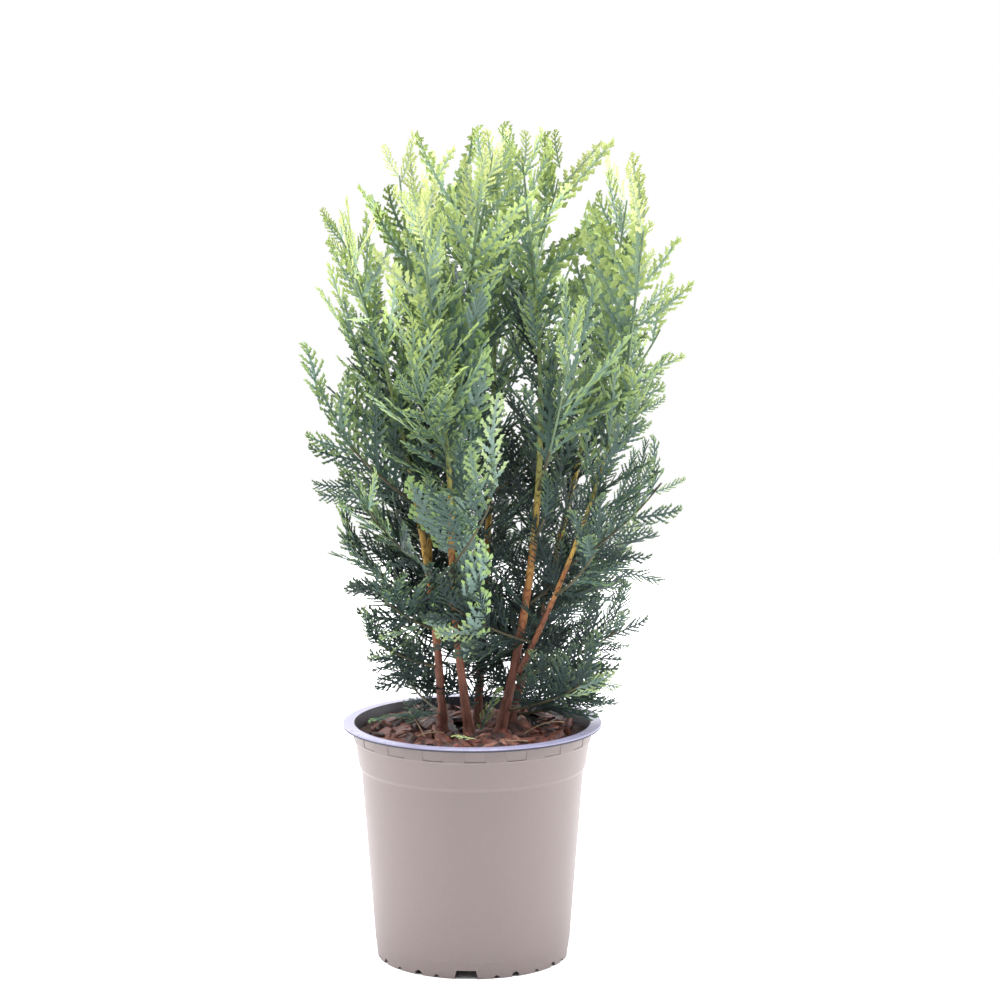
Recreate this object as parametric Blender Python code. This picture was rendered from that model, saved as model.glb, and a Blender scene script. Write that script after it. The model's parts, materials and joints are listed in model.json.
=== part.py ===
"""A young Lawson cypress in a nursery pot, as separate solids: the pot, its compost, the bark
mulch on it, five stems from one root, three boughs and the flat masses of foliage they carry.

Units are metres, +Z is up and the front is -Y. The origin is under the middle of the pot.
"""

import math
import random

import bmesh
import bpy
from mathutils import Vector
from mathutils.bvhtree import BVHTree

GAP = 0.0003

# Finishes: the base colour and roughness of each kind of piece
FINISHES = {
    "pot_taupe": ((0.36, 0.30, 0.27), 0.50),
    "compost_dark": ((0.05, 0.035, 0.025), 0.95),
    "bark_chips": ((0.20, 0.075, 0.05), 0.85),
    "stem_bark": ((0.30, 0.16, 0.07), 0.75),
    "cypress_green": ((0.11, 0.24, 0.10), 0.60),
}

# Pot: a turned plastic container with a flat rim, a collar under it and a notched foot
RIM_R = 0.0850
RIM_INNER_R = 0.0774
RIM_TOP = 0.1563
RIM_THICK = 0.0021
RIM_CHAMFER = 0.0008
COLLAR_R = 0.0789
COLLAR_FOOT_R = 0.0779
COLLAR_FOOT_Z = 0.1457
COLLAR_STEP = 0.0008
LEDGE_Z = 0.1270
LEDGE_HEIGHT = 0.0024
LEDGE_R = 0.0746
LEDGE_STEP = 0.0015
SEAM_Z = 0.0108
SEAM_R = 0.0643
SEAM_GROOVE = 0.0003
FOOT_R = 0.0629
FOOT_RING = 0.0021
WALL = 0.0015
FLOOR_UNDER = 0.0062
FLOOR_TOP = 0.0085
PAD_R = 0.013
PAD_SLOPE = 0.002
POT_SIDES = 36
SHARP_ANGLE = math.radians(30)

# Foot notches: one drain gate at each quarter turn, and five half-round notches between
GATE_TURN = math.radians(-93.3)
GATE_TOP_WIDTH = 0.0124
GATE_FOOT_WIDTH = 0.0172
GATE_HEIGHT = 0.0058
NOTCH_TURNS = (18, 30, 45, 60, 72)
NOTCH_RADII = (0.0019, 0.0029, 0.0019, 0.0029, 0.0019)
NOTCH_RISE = 1.15
NOTCH_SIDES = 5
CUT_BELOW = 0.002
CUT_REACH = 0.006

# Fill: compost, and a layer of bark with chips lying on it
COMPOST_TOP = 0.1400
MULCH_TOP = 0.1478
MULCH_EDGE = 0.0006
CHIP_COUNT = 24
CHIP_LENGTH = (0.013, 0.024)
CHIP_WIDTH = (0.45, 0.60)
CHIP_THICK = (0.0036, 0.0052)
CHIP_LIFT = (0.0002, 0.0014)
CHIP_PITCH = 0.14
CHIP_ROLL = 0.40
CHIP_CLEAR = 0.0065
CHIP_INSET = 0.55
CHIP_ENDS = ((-0.5, 0.62), (0.5, 0.85))
CHIP_SECTION = ((-0.5, -0.5), (0.5, -0.42), (0.42, 0.5), (-0.46, 0.4))
FILL_SIDES = 24

# Crown: the reach of the foliage, narrow over the pot, widest at two thirds, square-shouldered
CROWN_AXIS_X = 0.0160
CROWN_R = 0.1225
CROWN_DEPTH = 0.90
CROWN_WIDEST_Z = 0.400
CROWN_TOP = 0.544
CROWN_LOWER_REACH = 0.274
SHOULDER_POWER = 2.8
SKIRT_Z = 0.168
SHOULDER_Z = 0.468

# Limbs: each has its foot, tip and sideways bow, in metres, and its radius at foot and tip
STEM_FLARE = 0.0018
FLARE_HEIGHT = 0.010
FLARE_SHARES = (0.0, 0.012, 0.03, 0.06, 0.12)
LIMB_TAPER = 0.8
LIMB_STEPS = 8
PATH_STEPS = 40
STEM_SIDES = 6
BOUGH_SIDES = 5
SEAT_REACH = 0.030
SEAT_TRIES = 12
STEMS = {
    "left": ((-0.019, -0.008), (-0.074, -0.014, 0.455), (0.011, -0.004), (0.0031, 0.0010)),
    "middle": ((-0.001, -0.014), (0.005, -0.030, 0.478), (-0.015, -0.004), (0.0033, 0.0010)),
    "right": ((0.0175, -0.004), (0.0375, -0.016, 0.470), (0.015, 0.000), (0.0034, 0.0010)),
    "rear_right": ((0.023, 0.013), (0.092, 0.036, 0.430), (0.004, 0.004), (0.0030, 0.0009)),
    "rear": ((0.003, 0.017), (0.016, 0.062, 0.462), (0.002, 0.004), (0.0031, 0.0010)),
}
BOUGHS = {
    "left_fork": ("left", 0.34, (-0.040, 0.030, 0.440), (0.004, 0.006), (0.0019, 0.0008)),
    "right_fork": ("right", 0.09, (0.098, -0.034, 0.385), (0.006, -0.006), (0.0020, 0.0008)),
    "front_fork": ("middle", 0.42, (-0.024, -0.068, 0.425), (0.002, -0.004), (0.0017, 0.0008)),
}

# Foliage: each mass is one flat fan of toothed fronds along its own twig
OUTER_COUNT = 31
INNER_COUNT = 10
INNER_REACH = 0.55
INNER_LOW_Z = 0.215
INNER_TOP_Z = 0.455
CAP_SHARE = 0.20
GOLDEN_TURN = math.radians(137.508)
FIRST_TURN = math.radians(12.0)
FRONT_TURN = math.radians(-90.0)
OPEN_HALF_WIDTH = math.radians(34.0)
OPEN_TOP_Z = 0.330
RISE_LOW = math.radians(20.0)
RISE_HIGH = math.radians(70.0)
CURVE_IN = math.radians(12.0)
CURVE_OUT = math.radians(14.0)
CURVE_REACH = 0.36
STEEPEST = math.radians(89.0)
TWIG_R = (0.00125, 0.00045)
TWIG_STEPS = 4
TWIG_SIDES = 3
TWIG_END = 0.72
TWIST_SIDE = math.radians(12.0)
TWIST_FRONT = math.radians(62.0)
TWIST_LOOSE = math.radians(14.0)
TOP_LOOSE = math.radians(40.0)
TOP_LENGTH = 0.06
FRONDS_PER_MASS = 6
FROND_SHARES = (0.08, 0.66)
FROND_SPREAD = (math.radians(44.0), math.radians(28.0))
FROND_JITTER = (0.2, 0.8)
FROND_VARIES = (0.9, 1.1)
FROND_TILT = 0.16
FROND_SWINGS = (0.0, 0.3, -0.3, 0.6, -0.6)
FROND_LENGTHS = (0.60, 0.42)
FROND_LONGEST = 0.072
FROND_SHORTEST = 0.016
FROND_CLEAR = 0.0005
FROND_TRIM = 0.94
FROND_SHORTEN = 0.8
FROND_SINK = 0.7
FROND_SEED = 541
FROND_HALF_WIDTH = 0.175
RIDGE_SHARE = 0.018
RIDGE_LEAST = 0.0007
RIDGE_LEAD = 0.4
TEETH_FROM = 0.08
TEETH_SPAN = 0.70
TEETH_TAPER = (0.5, 1.4)
TOOTH_STAGGER = 0.03
NOTCH_WIDTH = 0.2
THIRD_TOOTH = 0.046
TOOTH_LEAD = 1.5
TIP_FROND = 0.50
SHORTEST_TWIG = 0.058
ROOT_PLACES = 60
SLOPE_WEIGHT = 2.5
ROOT_SPACING = 0.06
CROWDING = 0.060
SEED = 41


def clear_scene():
    for obj in list(bpy.data.objects):
        bpy.data.objects.remove(obj, do_unlink=True)


def material(name, colour, roughness):
    made = bpy.data.materials.new(name)
    made.use_nodes = True
    shader = made.node_tree.nodes["Principled BSDF"]
    shader.inputs["Base Color"].default_value = (*colour, 1.0)
    shader.inputs["Roughness"].default_value = roughness
    shader.inputs["Metallic"].default_value = 0.0
    return made


def add_object(name, points, faces, finish):
    mesh = bpy.data.meshes.new(name)
    mesh.from_pydata([tuple(p) for p in points], [], faces)
    mesh.validate()
    mesh.materials.append(finish)
    obj = bpy.data.objects.new(name, mesh)
    bpy.context.scene.collection.objects.link(obj)
    return obj


def recalculate_normals(obj):
    bm = bmesh.new()
    bm.from_mesh(obj.data)
    bmesh.ops.recalc_face_normals(bm, faces=bm.faces)
    bm.to_mesh(obj.data)
    bm.free()


def turned(name, profile, sides, finish):
    """A solid of revolution. The profile's first and last points lie on the axis."""
    rings = profile[1:-1]
    points = [Vector((0, 0, profile[0][1]))]
    for radius, z in rings:
        for k in range(sides):
            turn = 2 * math.pi * k / sides
            points.append(Vector((radius * math.cos(turn), radius * math.sin(turn), z)))
    points.append(Vector((0, 0, profile[-1][1])))
    last = len(points) - 1
    faces = []
    for k in range(sides):
        after = (k + 1) % sides
        faces.append((0, 1 + after, 1 + k))
        for ring in range(len(rings) - 1):
            a = 1 + ring * sides
            b = a + sides
            faces.append((a + k, a + after, b + after, b + k))
        top = 1 + (len(rings) - 1) * sides
        faces.append((top + k, top + after, last))
    obj = add_object(name, points, faces, finish)
    recalculate_normals(obj)
    obj.data.shade_smooth()
    obj.data.set_sharp_from_angle(angle=SHARP_ANGLE)
    return obj


def boolean(obj, others, operation, solver="EXACT"):
    """Joins or cuts obj with the others in one Boolean on a collection, then removes them."""
    group = bpy.data.collections.new(obj.name + "_tools")
    bpy.context.scene.collection.children.link(group)
    for other in others:
        bpy.context.scene.collection.objects.unlink(other)
        group.objects.link(other)
    modifier = obj.modifiers.new("join", "BOOLEAN")
    modifier.operation = operation
    modifier.operand_type = "COLLECTION"
    modifier.collection = group
    modifier.solver = solver
    graph = bpy.context.evaluated_depsgraph_get()
    joined = bpy.data.meshes.new_from_object(obj.evaluated_get(graph))
    obj.modifiers.remove(modifier)
    obj.data = joined
    for other in others:
        bpy.data.objects.remove(other, do_unlink=True)
    bpy.data.collections.remove(group)


def tree_of(points, faces):
    return BVHTree.FromPolygons([tuple(p) for p in points], faces)


def tree_of_object(obj):
    points = [v.co for v in obj.data.vertices]
    return tree_of(points, [tuple(face.vertices) for face in obj.data.polygons])


def around(turn, along, across, z):
    """The point at this distance along and across the direction of a turn about the pot's axis."""
    c, s = math.cos(turn), math.sin(turn)
    return Vector((along * c - across * s, along * s + across * c, z))


def radial_prism(name, turn, outline, finish):
    """A cutter through the foot wall: its outline (across, z) runs out from inside the wall."""
    inside, outside = FOOT_R - CUT_REACH, FOOT_R + CUT_REACH
    count = len(outline)
    points = [around(turn, inside, a, z) for a, z in outline]
    points += [around(turn, outside, a, z) for a, z in outline]
    faces = [tuple(range(count)), tuple(range(2 * count - 1, count - 1, -1))]
    for k in range(count):
        after = (k + 1) % count
        faces.append((k, k + count, after + count, after))
    obj = add_object(name, points, faces, finish)
    recalculate_normals(obj)
    return obj


def foot_cutters(finish):
    """The drain gates and the notches between them, as cutters round the foot."""
    half_top, half_foot = GATE_TOP_WIDTH / 2, GATE_FOOT_WIDTH / 2
    gate = [(-half_foot, -CUT_BELOW), (half_foot, -CUT_BELOW)]
    gate += [(half_top, GATE_HEIGHT), (-half_top, GATE_HEIGHT)]
    arc = [math.pi * k / (NOTCH_SIDES - 1) for k in range(NOTCH_SIDES)]
    cutters = []
    for quarter in range(4):
        turn = GATE_TURN + quarter * math.pi / 2
        cutters.append(radial_prism(f"gate_{quarter}", turn, gate, finish))
        for degrees, radius in zip(NOTCH_TURNS, NOTCH_RADII):
            notch = [(radius * math.cos(a), NOTCH_RISE * radius * math.sin(a)) for a in arc]
            notch = [(radius, -CUT_BELOW), *notch, (-radius, -CUT_BELOW)]
            place = turn + math.radians(degrees)
            cutters.append(radial_prism(f"notch_{quarter}_{degrees}", place, notch, finish))
    return cutters


def make_pot(finish):
    under_rim = RIM_TOP - RIM_THICK
    ledge_top, ledge_foot = LEDGE_Z + LEDGE_HEIGHT / 2, LEDGE_Z - LEDGE_HEIGHT / 2
    profile = [
        (0, 0),
        (PAD_R, 0),
        (PAD_R + PAD_SLOPE, FLOOR_UNDER),
        (FOOT_R - FOOT_RING, FLOOR_UNDER),
        (FOOT_R - FOOT_RING, 0),
        (FOOT_R, 0),
        (SEAM_R - SEAM_GROOVE, SEAM_Z - SEAM_GROOVE),
        (SEAM_R, SEAM_Z),
        (LEDGE_R - LEDGE_STEP, ledge_foot),
        (LEDGE_R, ledge_top),
        (COLLAR_FOOT_R - COLLAR_STEP, COLLAR_FOOT_Z - COLLAR_STEP),
        (COLLAR_FOOT_R, COLLAR_FOOT_Z),
        (COLLAR_R, under_rim),
        (RIM_R, under_rim),
        (RIM_R, RIM_TOP - RIM_CHAMFER),
        (RIM_R - RIM_CHAMFER, RIM_TOP),
        (RIM_INNER_R, RIM_TOP),
        (LEDGE_R - WALL, ledge_top),
        (LEDGE_R - LEDGE_STEP - WALL, ledge_foot),
        (SEAM_R - WALL, SEAM_Z),
        (SEAM_R - 2 * WALL, FLOOR_TOP),
        (0, FLOOR_TOP),
    ]
    pot = turned("pot", profile, POT_SIDES, finish)
    boolean(pot, foot_cutters(finish), "DIFFERENCE")
    return pot


def inside_radius(z):
    """How far a fill may reach inside the pot at a height, clear of its faceted wall."""
    ledge_top, ledge_foot = LEDGE_Z + LEDGE_HEIGHT / 2, LEDGE_Z - LEDGE_HEIGHT / 2
    low, high = (SEAM_Z, SEAM_R - WALL), (ledge_foot, LEDGE_R - LEDGE_STEP - WALL)
    if z > ledge_foot:
        low, high = (ledge_top, LEDGE_R - WALL), (RIM_TOP, RIM_INNER_R)
    inner = low[1] + (high[1] - low[1]) * (z - low[0]) / (high[0] - low[0])
    return inner * math.cos(math.pi / POT_SIDES) - GAP


def make_compost(finish):
    foot = FLOOR_TOP + GAP
    shoulder = LEDGE_Z - LEDGE_HEIGHT
    profile = [
        (0, foot),
        (inside_radius(SEAM_Z) - 2 * WALL, foot),
        (inside_radius(2 * SEAM_Z), 2 * SEAM_Z),
        (inside_radius(shoulder), shoulder),
        (inside_radius(shoulder), COMPOST_TOP),
        (0, COMPOST_TOP),
    ]
    return turned("compost", profile, FILL_SIDES, finish)


def make_chip(name, centre, turn, pitch, roll, size, finish):
    """One bark chip: a flat block, narrower and thinner at one end, with uneven edges."""
    length, width, thick = size
    level = math.cos(pitch)
    along = Vector((math.cos(turn) * level, math.sin(turn) * level, math.sin(pitch)))
    flat = along.cross(Vector((0, 0, 1))).normalized()
    up = flat.cross(along)
    across = flat * math.cos(roll) + up * math.sin(roll)
    lift = along.cross(across)
    corners = []
    for end, taper in CHIP_ENDS:
        for side, rise in CHIP_SECTION:
            offset = across * (side * width * taper) - lift * (rise * thick * taper)
            corners.append(centre + along * (end * length) + offset)
    sides = [(k, (k + 1) % 4, (k + 1) % 4 + 4, k + 4) for k in range(4)]
    chip = add_object(name, corners, [(3, 2, 1, 0), (4, 5, 6, 7), *sides], finish)
    recalculate_normals(chip)
    return chip


def make_mulch(limbs, finish):
    """A disc of bark with chips lying on it, kept off the stems that stand on the same disc."""
    low = COMPOST_TOP + GAP
    profile = [
        (0, low),
        (inside_radius(low), low),
        (inside_radius(MULCH_TOP) - MULCH_EDGE, MULCH_TOP),
        (0, MULCH_TOP),
    ]
    mulch = turned("bark_mulch", profile, FILL_SIDES, finish)
    rng = random.Random(SEED)
    feet = [limb["path"][0] for limb in limbs.values() if limb["flare"]]
    chips = []
    for k in range(CHIP_COUNT):
        turn = k * GOLDEN_TURN
        length = rng.uniform(*CHIP_LENGTH)
        inset = CHIP_INSET * length
        reach = (inside_radius(MULCH_TOP) - inset) * math.sqrt((k + 0.5) / CHIP_COUNT)
        rise = MULCH_TOP + rng.uniform(*CHIP_LIFT)
        centre = Vector((reach * math.cos(turn), reach * math.sin(turn), rise))
        size = (length, length * rng.uniform(*CHIP_WIDTH), rng.uniform(*CHIP_THICK))
        heading = rng.uniform(0, math.pi)
        pitch, roll = rng.uniform(-CHIP_PITCH, CHIP_PITCH), rng.uniform(-CHIP_ROLL, CHIP_ROLL)
        away = min(math.hypot(foot.x - centre.x, foot.y - centre.y) for foot in feet)
        if away > CHIP_CLEAR + length / 2:
            chips.append(make_chip(f"chip_{k}", centre, heading, pitch, roll, size, finish))
    boolean(mulch, chips, "UNION")
    return mulch


def limb_path(foot, tip, bow):
    """Points from foot to tip, bowed sideways the most at half height."""
    path = []
    for k in range(PATH_STEPS + 1):
        t = k / PATH_STEPS
        sag = 4 * t * (1 - t)
        path.append(foot.lerp(tip, t) + Vector((bow[0] * sag, bow[1] * sag, 0)))
    return path


def path_at(path, share):
    """The point and direction at a share of the way along a path of equal steps."""
    place = min(max(share, 0.0), 1.0) * (len(path) - 1)
    k = min(int(place), len(path) - 2)
    point = path[k].lerp(path[k + 1], place - k)
    return point, (path[k + 1] - path[k]).normalized()


def tube(path, radii, sides, level_foot=False):
    """Points and faces of a closed tapering tube round a path, with flat ends."""
    points, faces = [], []
    side = Vector((1, 0, 0))
    for k, centre in enumerate(path):
        before, after = path[max(k - 1, 0)], path[min(k + 1, len(path) - 1)]
        ahead = (after - before).normalized()
        if level_foot and k == 0:
            ahead = Vector((0, 0, 1))
        side = (side - ahead * side.dot(ahead)).normalized()
        other = ahead.cross(side)
        for j in range(sides):
            turn = 2 * math.pi * j / sides
            points.append(centre + (side * math.cos(turn) + other * math.sin(turn)) * radii[k])
    for k in range(len(path) - 1):
        for j in range(sides):
            a, b = k * sides + j, k * sides + (j + 1) % sides
            faces.append((a, b, b + sides, a + sides))
    faces.append(tuple(range(sides - 1, -1, -1)))
    top = (len(path) - 1) * sides
    faces.append(tuple(range(top, top + sides)))
    return points, faces


def limb_radius(limb, share):
    foot_r, tip_r = limb["radii"]
    plain = foot_r + (tip_r - foot_r) * share**LIMB_TAPER
    if limb["flare"]:
        height = share * (limb["path"][-1].z - limb["path"][0].z)
        plain += STEM_FLARE * math.exp(-height / FLARE_HEIGHT)
    return plain


def clearance(shape, tree):
    """The least distance from a shape's corners and sides to a solid, negative inside it."""
    points, faces = shape
    middles = [(points[a] + points[b]) / 2 for face in faces for a, b in zip(face, face[1:])]
    least = math.inf
    for point in points + middles:
        near, normal, _, distance = tree.find_nearest(point)
        least = min(least, distance if (point - near).dot(normal) > 0 else -distance)
    return least


def seat(tree, base, ahead, shape_from):
    """The start, out along ahead from base, at which a limb or twig stands clear by the gap."""
    low, high = 0.0, SEAT_REACH
    for _ in range(SEAT_TRIES):
        middle = (low + high) / 2
        if clearance(shape_from(base + ahead * middle), tree) < GAP:
            low = middle
        else:
            high = middle
    return base + ahead * high


def plan_limbs():
    """The path and radius of every stem and bough."""
    limbs = {}
    ground = MULCH_TOP + GAP
    for name, (foot, tip, bow, radii) in STEMS.items():
        path = limb_path(Vector((*foot, ground)), Vector(tip), bow)
        limbs[name] = {"path": path, "radii": radii, "flare": True, "sides": STEM_SIDES}
    for name, (parent, share, tip, bow, radii) in BOUGHS.items():
        base, _ = path_at(limbs[parent]["path"], share)
        limb = {"path": [], "radii": radii, "flare": False, "sides": BOUGH_SIDES}

        def shape_from(start):
            limb["path"] = limb_path(start, Vector(tip), bow)
            return limb_shape(limb)

        ahead = (limb_path(base, Vector(tip), bow)[2] - base).normalized()
        shape_from(seat(tree_of(*limb_shape(limbs[parent])), base, ahead, shape_from))
        limbs[name] = limb
    return limbs


def limb_shape(limb):
    """The limb's tube, with closer rings in the root flare."""
    low = FLARE_SHARES[-1] if limb["flare"] else 0.0
    shares = list(FLARE_SHARES[:-1]) if limb["flare"] else []
    shares += [low + (1 - low) * k / LIMB_STEPS for k in range(LIMB_STEPS + 1)]
    path = [path_at(limb["path"], share)[0] for share in shares]
    radii = [limb_radius(limb, share) for share in shares]
    return tube(path, radii, limb["sides"], level_foot=limb["flare"])


def crown_radius(z):
    """How far the foliage reaches from the crown's axis at a height, along X."""
    if z < CROWN_WIDEST_Z:
        fall = (CROWN_WIDEST_Z - z) / CROWN_LOWER_REACH
        return CROWN_R * math.sqrt(max(1 - fall * fall, 0.0))
    rise = min((z - CROWN_WIDEST_Z) / (CROWN_TOP - CROWN_WIDEST_Z), 1.0)
    return CROWN_R * (1 - rise**SHOULDER_POWER) ** (1 / SHOULDER_POWER)


def crown_share(point):
    """The point's distance from the crown's axis, as a share of the reach at its height."""
    reach = max(crown_radius(point.z), 1e-6)
    return math.hypot(point.x - CROWN_AXIS_X, point.y / CROWN_DEPTH) / reach


def clear_of_front(turn, z):
    """Turns a low tip away from the front, where the photo shows the bare feet of the stems."""
    off = (turn - FRONT_TURN + math.pi) % (2 * math.pi) - math.pi
    if abs(off) < OPEN_HALF_WIDTH and z < OPEN_TOP_Z:
        return turn + math.copysign(OPEN_HALF_WIDTH, off)
    return turn


def crown_point(turn, reach, z):
    x = CROWN_AXIS_X + reach * math.cos(turn)
    return Vector((x, CROWN_DEPTH * reach * math.sin(turn), z))


def dome_height(reach):
    """The height of the crown's top at a distance from its axis."""
    share = min(reach / CROWN_R, 0.999)
    rise = (1 - share**SHOULDER_POWER) ** (1 / SHOULDER_POWER)
    return CROWN_WIDEST_Z + (CROWN_TOP - CROWN_WIDEST_Z) * rise


def outer_tips():
    """Where the outer masses end: evenly spread over the crown's sides and its flat top."""
    tips = []
    for k in range(OUTER_COUNT):
        share = (k + 0.5) / OUTER_COUNT
        turn = FIRST_TURN + k * GOLDEN_TURN
        if share < 1 - CAP_SHARE:
            z = SKIRT_Z + (SHOULDER_Z - SKIRT_Z) * share / (1 - CAP_SHARE)
            tips.append(crown_point(clear_of_front(turn, z), crown_radius(z), z))
        else:
            reach = crown_radius(SHOULDER_Z) * math.sqrt((1 - share) / CAP_SHARE)
            tips.append(crown_point(turn, reach, dome_height(reach)))
    return tips


def inner_tips():
    """Where the inner masses end, which fill the crown round its axis."""
    tips = []
    for k in range(INNER_COUNT):
        share = (k + 0.5) / INNER_COUNT
        z = INNER_LOW_Z + (INNER_TOP_Z - INNER_LOW_Z) * share
        turn = FIRST_TURN + (k + 0.5) * GOLDEN_TURN
        tips.append(crown_point(clear_of_front(turn, z), INNER_REACH * crown_radius(z), z))
    return tips


def ranked_roots(limbs, tip, taken):
    """Limbs and shares along them, those first from which a twig rises to its tip at its slope."""
    share_up = (tip.z - SKIRT_Z) / (CROWN_TOP - SKIRT_Z)
    slope = math.tan(RISE_LOW + (RISE_HIGH - RISE_LOW) * share_up)
    ranked = []
    for name, limb in limbs.items():
        for k in range(2, ROOT_PLACES - 1):
            share = k / ROOT_PLACES
            point, _ = path_at(limb["path"], share)
            if (tip - point).length < SHORTEST_TWIG:
                continue
            out = math.hypot(tip.x - point.x, tip.y - point.y)
            miss = abs((tip.z - point.z) - slope * out)
            near = min((abs(share - other) for other in taken[name]), default=1.0)
            crowded = max(0.0, 1 - near / ROOT_SPACING)
            ranked.append((out + SLOPE_WEIGHT * miss + CROWDING * crowded, name, share))
    return sorted(ranked)


def bezier(a, b, c, d, t):
    s = 1 - t
    return a * s**3 + b * 3 * s * s * t + c * 3 * s * t * t + d * t**3


def twig_path(root, tip):
    """A twig's curve: it leaves its limb flatter than its chord and ends steeper."""
    chord = tip - root
    level = Vector((chord.x, chord.y, 0))
    out = level.normalized() if level.length > 1e-6 else Vector((1, 0, 0))
    rise = math.atan2(chord.z, level.length)
    low, high = rise - CURVE_IN, min(rise + CURVE_OUT, STEEPEST)
    start = out * math.cos(low) + Vector((0, 0, math.sin(low)))
    end = out * math.cos(high) + Vector((0, 0, math.sin(high)))
    reach = CURVE_REACH * chord.length
    controls = (root, root + start * reach, tip - end * reach, tip)
    return [bezier(*controls, k / PATH_STEPS) for k in range(PATH_STEPS + 1)]


def rooted_path(limbs, trees, name, share, tip):
    """A twig's path from the limb's surface, clear of it by the gap, to the tip."""
    base, _ = path_at(limbs[name]["path"], share)
    ahead = (twig_path(base, tip)[1] - base).normalized()
    start = seat(trees[name], base, ahead, lambda place: twig_shape(twig_path(place, tip)))
    return twig_path(start, tip)


def clear_root(limbs, trees, tip, taken):
    """The best limb, share and path for a twig that passes the other limbs and twigs clear."""
    for _, name, share in ranked_roots(limbs, tip, taken):
        path = rooted_path(limbs, trees, name, share, tip)
        tested = tree_of(*twig_shape(path, GAP / 2))
        if not any(tested.overlap(tree) for tree in trees.values()):
            return name, share, path
    raise ValueError("a tip has no clear root")


def plan_masses(limbs):
    """Every mass: its name, its twig's path and the twist of its fan about that twig."""
    masses = []
    taken = {name: [] for name in limbs}
    trees = {name: tree_of(*limb_shape(limb)) for name, limb in limbs.items()}
    for k, tip in enumerate(outer_tips() + inner_tips()):
        rng = random.Random(SEED + k)
        limb_name, share, path = clear_root(limbs, trees, tip, taken)
        taken[limb_name].append(share)
        name = f"foliage_{limb_name}_{len(taken[limb_name]):02d}"
        trees[name] = tree_of(*twig_shape(path, GAP / 2))
        chord = path[-1] - path[0]
        facing = abs(chord.y) / math.hypot(chord.x, chord.y)
        twist = TWIST_SIDE + (TWIST_FRONT - TWIST_SIDE) * facing
        twist = rng.choice((-1, 1)) * (twist + rng.uniform(-TWIST_LOOSE, TWIST_LOOSE))
        masses.append({"name": name, "path": path, "twist": twist})
    for k, (limb_name, limb) in enumerate(limbs.items()):
        rng = random.Random(SEED + len(masses))
        end, ahead = path_at(limb["path"], 1.0)
        start, top = end + ahead * GAP, end + ahead * TOP_LENGTH
        top.z = dome_height(math.hypot(top.x - CROWN_AXIS_X, top.y / CROWN_DEPTH))
        path = [start.lerp(top, j / PATH_STEPS) for j in range(PATH_STEPS + 1)]
        lean = math.atan2(top.y - start.y, top.x - start.x)
        twist = lean + rng.uniform(-TOP_LOOSE, TOP_LOOSE)
        masses.append({"name": f"foliage_{limb_name}_top", "path": path, "twist": twist})
    return masses


def frond(root, ahead, across, length, teeth, sunk, grow=0.0):
    """Points and faces of one frond: a blade with forward teeth, flat below and ridged above.

    grow thickens and widens it all round, for testing that it stands clear."""
    normal = ahead.cross(across).normalized()
    ridge_height = max(RIDGE_SHARE * length, RIDGE_LEAST) + grow
    half_width = FROND_HALF_WIDTH * length
    step = TEETH_SPAN / teeth

    def at(along, side, lift):
        return root + ahead * (along * length) + across * side + normal * lift

    points = [root - ahead * sunk - normal * grow, at(1.0, 0.0, -grow)]
    points[1] += ahead * grow
    ridge, edges = [], {1: [], -1: []}
    for j in range(teeth):
        place = TEETH_FROM + step * j
        ridge.append(len(points))
        points.append(at(place + RIDGE_LEAD * step, 0.0, ridge_height))
        taper = 1 - TEETH_TAPER[0] * (j / teeth) ** TEETH_TAPER[1]
        wide, narrow = half_width * taper + grow, NOTCH_WIDTH * half_width * taper + grow
        for side in (1, -1):
            lead = TOOTH_STAGGER * side
            tooth = at(place + TOOTH_LEAD * step + lead, side * wide, -grow)
            notch = at(place + step + lead / 2, side * narrow, -grow)
            edges[side] += [len(points), len(points) + 1]
            points += [tooth, notch]
    faces = []
    for side in (1, -1):
        before = 0
        for j in range(teeth):
            tooth, notch = edges[side][2 * j : 2 * j + 2]
            after = ridge[j + 1] if j + 1 < teeth else 1
            found = [(ridge[j], before, tooth), (ridge[j], tooth, notch), (ridge[j], notch, after)]
            faces += [face[::-1] for face in found] if side < 0 else found
            before = notch
    faces.append((0, *edges[-1], 1, *reversed(edges[1])))
    return points, faces


def fan_frame(mass, share):
    """A twig's point, direction, and the direction across its fan, at a share of its length."""
    path = mass["path"]
    point, ahead = path_at(path, share)
    chord = path[-1] - path[0]
    level = Vector((chord.x, chord.y, 0))
    level = level.normalized() if level.length > 1e-4 else Vector((1, 0, 0))
    normal = Vector((-level.y, level.x, 0))
    up = ahead.cross(normal)
    across = up * math.cos(mass["twist"]) + normal * math.sin(mass["twist"])
    return point, ahead, (across - ahead * across.dot(ahead)).normalized()


def between(ends, share):
    return ends[0] + (ends[1] - ends[0]) * share


def frond_plan(mass, rng):
    """The fronds along a mass's twig, each a share of it, side, length, angle and tilt."""
    total = (mass["path"][-1] - mass["path"][0]).length
    plan = []
    for k in range(FRONDS_PER_MASS):
        place = (k + rng.uniform(*FROND_JITTER)) / FRONDS_PER_MASS
        side = 1 if k % 2 else -1
        length = min(between(FROND_LENGTHS, place) * total, FROND_LONGEST)
        angle = between(FROND_SPREAD, place)
        length *= rng.uniform(*FROND_VARIES)
        tilt = rng.uniform(-FROND_TILT, FROND_TILT)
        plan.append((between(FROND_SHARES, place), side, length, angle, tilt))
    return plan


def twig_shape(path, grow=0.0):
    shares = [TWIG_END * k / TWIG_STEPS for k in range(TWIG_STEPS + 1)]
    points = [path_at(path, share)[0] for share in shares]
    return tube(points, [between(TWIG_R, share) + grow for share in shares], TWIG_SIDES)


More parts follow.
